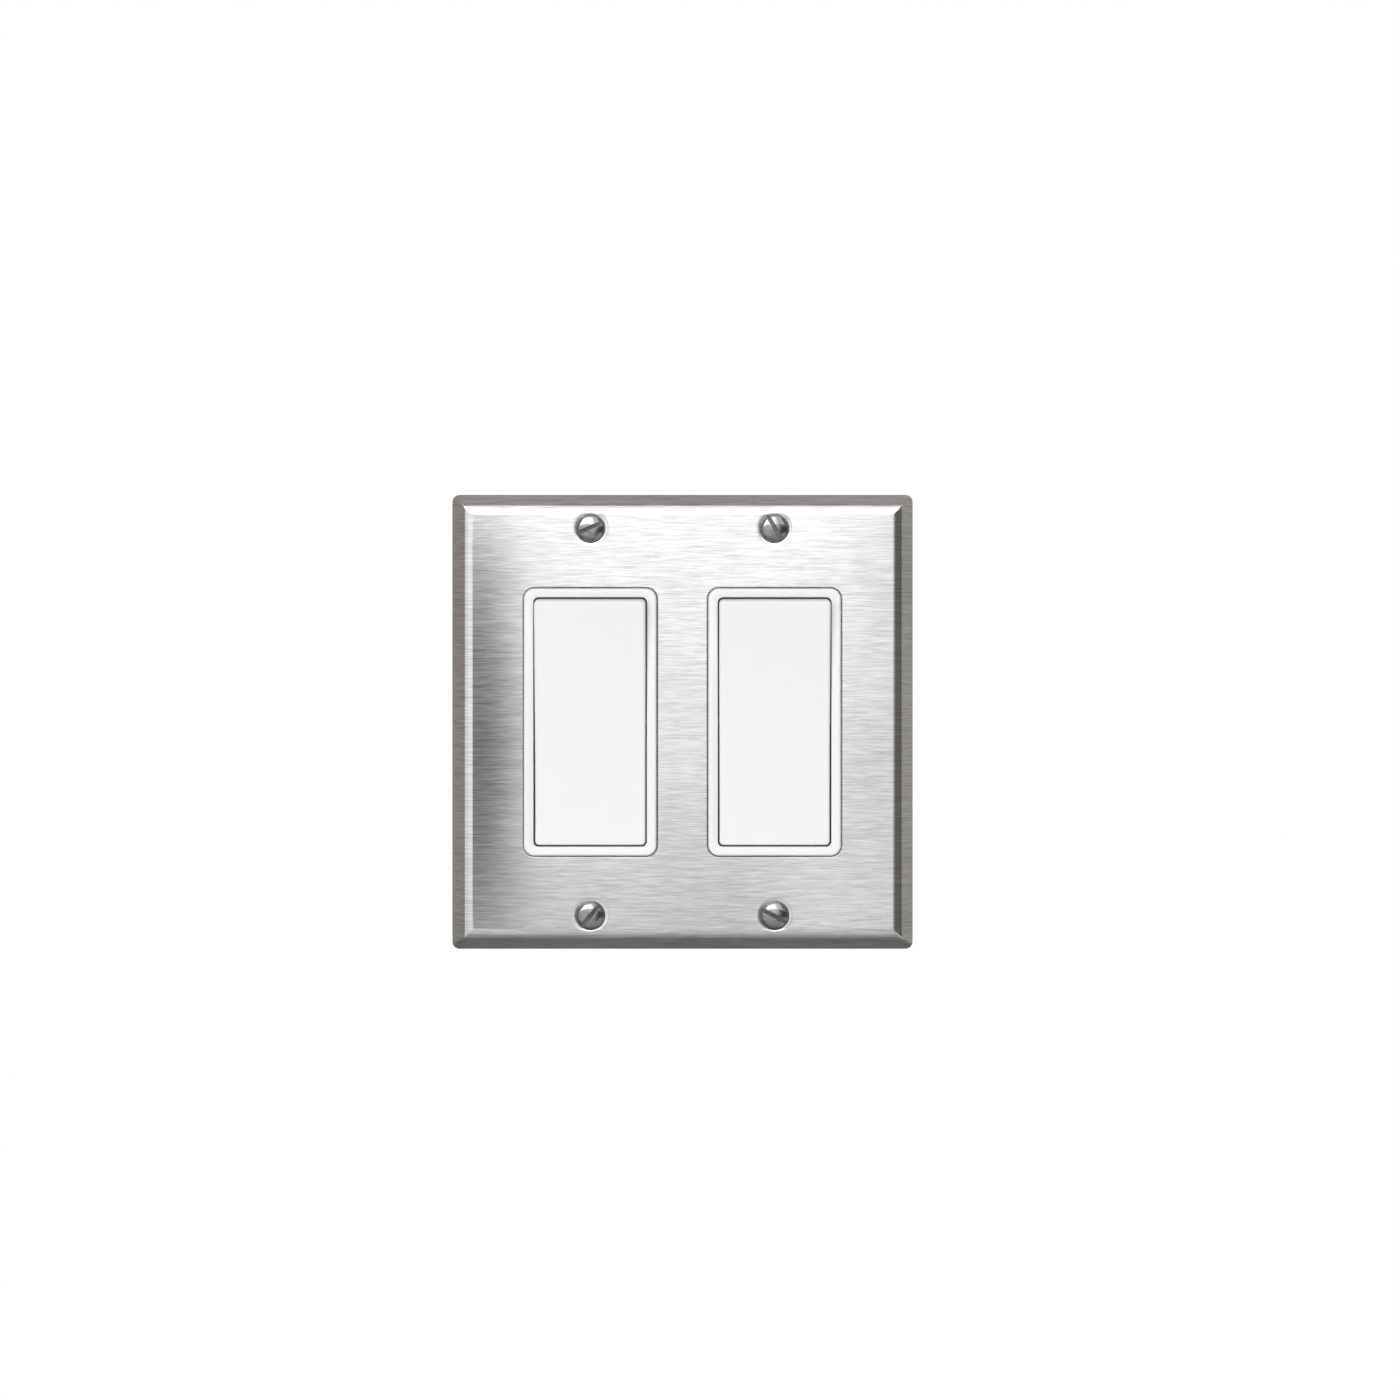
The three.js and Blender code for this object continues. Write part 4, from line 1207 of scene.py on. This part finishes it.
def add_backdrop():
    """A pale floor that sweeps up into a pale backdrop all round, so every view has a plain ground."""
    bm = bmesh.new()
    sides, radius, floor_z, top_z, sweep = 64, 3.0, -0.45, 5.0, 0.8
    profile = [(0, floor_z)]
    profile += [(radius - sweep + u, floor_z + sweep + v) for u, v in arc((0, 0), sweep, -90, 0, 10)]
    profile += [(radius, top_z), (0, top_z)]
    skin(bm, [[(x, y, z) for x, y in circle(r, sides)] for r, z in profile])
    mesh = mesh_from("backdrop", cleaned(bm))
    mesh.shade_smooth()
    mesh.materials.append(glow_material("backdrop_white", 1.0))
    backdrop = add_object("backdrop", mesh)
    backdrop.visible_diffuse = False
    backdrop.visible_glossy = False
    backdrop.visible_shadow = False
    backdrop.visible_transmission = False


def add_front_cards():
    """Cards level with the object: bright ahead and to the left, dark to the right."""
    front = shaded(
        [
            ("Z", -0.25, 0.25, 0.67, 1.36),
            ("Z", 0.36, 0.5, 1.0, 2.6),
            ("X", 0.07, 0.17, 1.0, 0.82),
            ("X", 0.2, 0.55, 1.0, 0.35),
        ],
        ovals=[((-0.18, CARD_Y, -0.02), 0.055, 0.18, 0.15), ((0.2, CARD_Y, -0.2), 0.12, 0.12, 1.35)],
    )
    beside = shaded(
        [("Z", -0.25, 0.25, 0.84, 1.08), ("Z", 0.36, 0.5, 1.0, 3.0), ("X", -1.4, -0.8, 0.85, 1.0)]
    )
    dark = shaded([("Z", -0.55, -0.25, 0.6, 0.125), ("Z", 0.25, 0.5, 1.0, 3.0)])
    front_heights = (FRONT_LOW_Z, FRONT_HIGH_Z)
    upright_card("front_card", (FRONT_LEFT_X, FRONT_RIGHT_X), front_heights, front)
    upright_card("beside_card", (LEFT_X, FRONT_LEFT_X), front_heights, beside)
    upright_card("left_card", (LEFT_X, LEFT_X), (-0.9, 1.2), 0.8, (CARD_Y, -0.75))
    upright_card("right_card", (FRONT_RIGHT_X, RIGHT_X), (UNDER_Z, FRONT_HIGH_Z), dark)
    upright_card("far_right_card", (RIGHT_X, RIGHT_X), (UNDER_Z, 0.9), dark, (CARD_Y, -0.2))


def add_high_and_low_cards():
    """Cards above and below: brightest above and to the left, dimmest right underneath."""
    above_x, front_y = (-1.4, 1.2), (CARD_Y, CARD_Y)
    above = shaded([("X", 0.0, 0.4, 3.5, 1.3)])
    below = shaded([("Z", UNDER_Z, -0.5, 0.34, 0.63)])
    under = shaded([("Y", CARD_Y, -0.2, 0.34, 0.22)])
    level_card("top_card", above_x, front_y, (FRONT_HIGH_Z, OVERHEAD_Z), above)
    level_card("overhead_card", above_x, (CARD_Y, -0.25), (OVERHEAD_Z, 1.9), 1.1)
    level_card("lower_card", (LEFT_X, FRONT_RIGHT_X), front_y, (UNDER_Z, FRONT_LOW_Z), below)
    level_card("under_card", (LEFT_X, RIGHT_X), (CARD_Y, -0.2), (UNDER_Z, UNDER_Z), under)


def add_lights():
    """Soft lights: two for the white plastic in front, unseen in reflections, and three behind."""
    cool = (0.975, 1.0, 1.03)
    area_light("front_fill", (-0.3, -1.6, 0.25), 2.4, 2.0, 25.7, cool, in_reflections=False)
    area_light("lower_fill", (0, -1.0, -0.7), 1.2, 0.8, 4, cool, in_reflections=False)
    area_light("rear_key", (-0.9, 1.5, 1.1), 1.4, 1.2, 15)
    area_light("rear_fill", (1.3, 1.5, 0.1), 1.2, 1.6, 10)
    area_light("rear_low", (-0.4, 1.6, -0.9), 1.4, 0.7, 4)


# ---- Making it all

stand_in("wall_plate", wall_plate())
add_plate_screws()
for side, x in SWITCHES.items():
    add_switch(side, x)

add_camera()
add_world()
add_backdrop()
add_front_cards()
add_high_and_low_cards()
add_lights()
bpy.context.scene.view_settings.view_transform = "Standard"
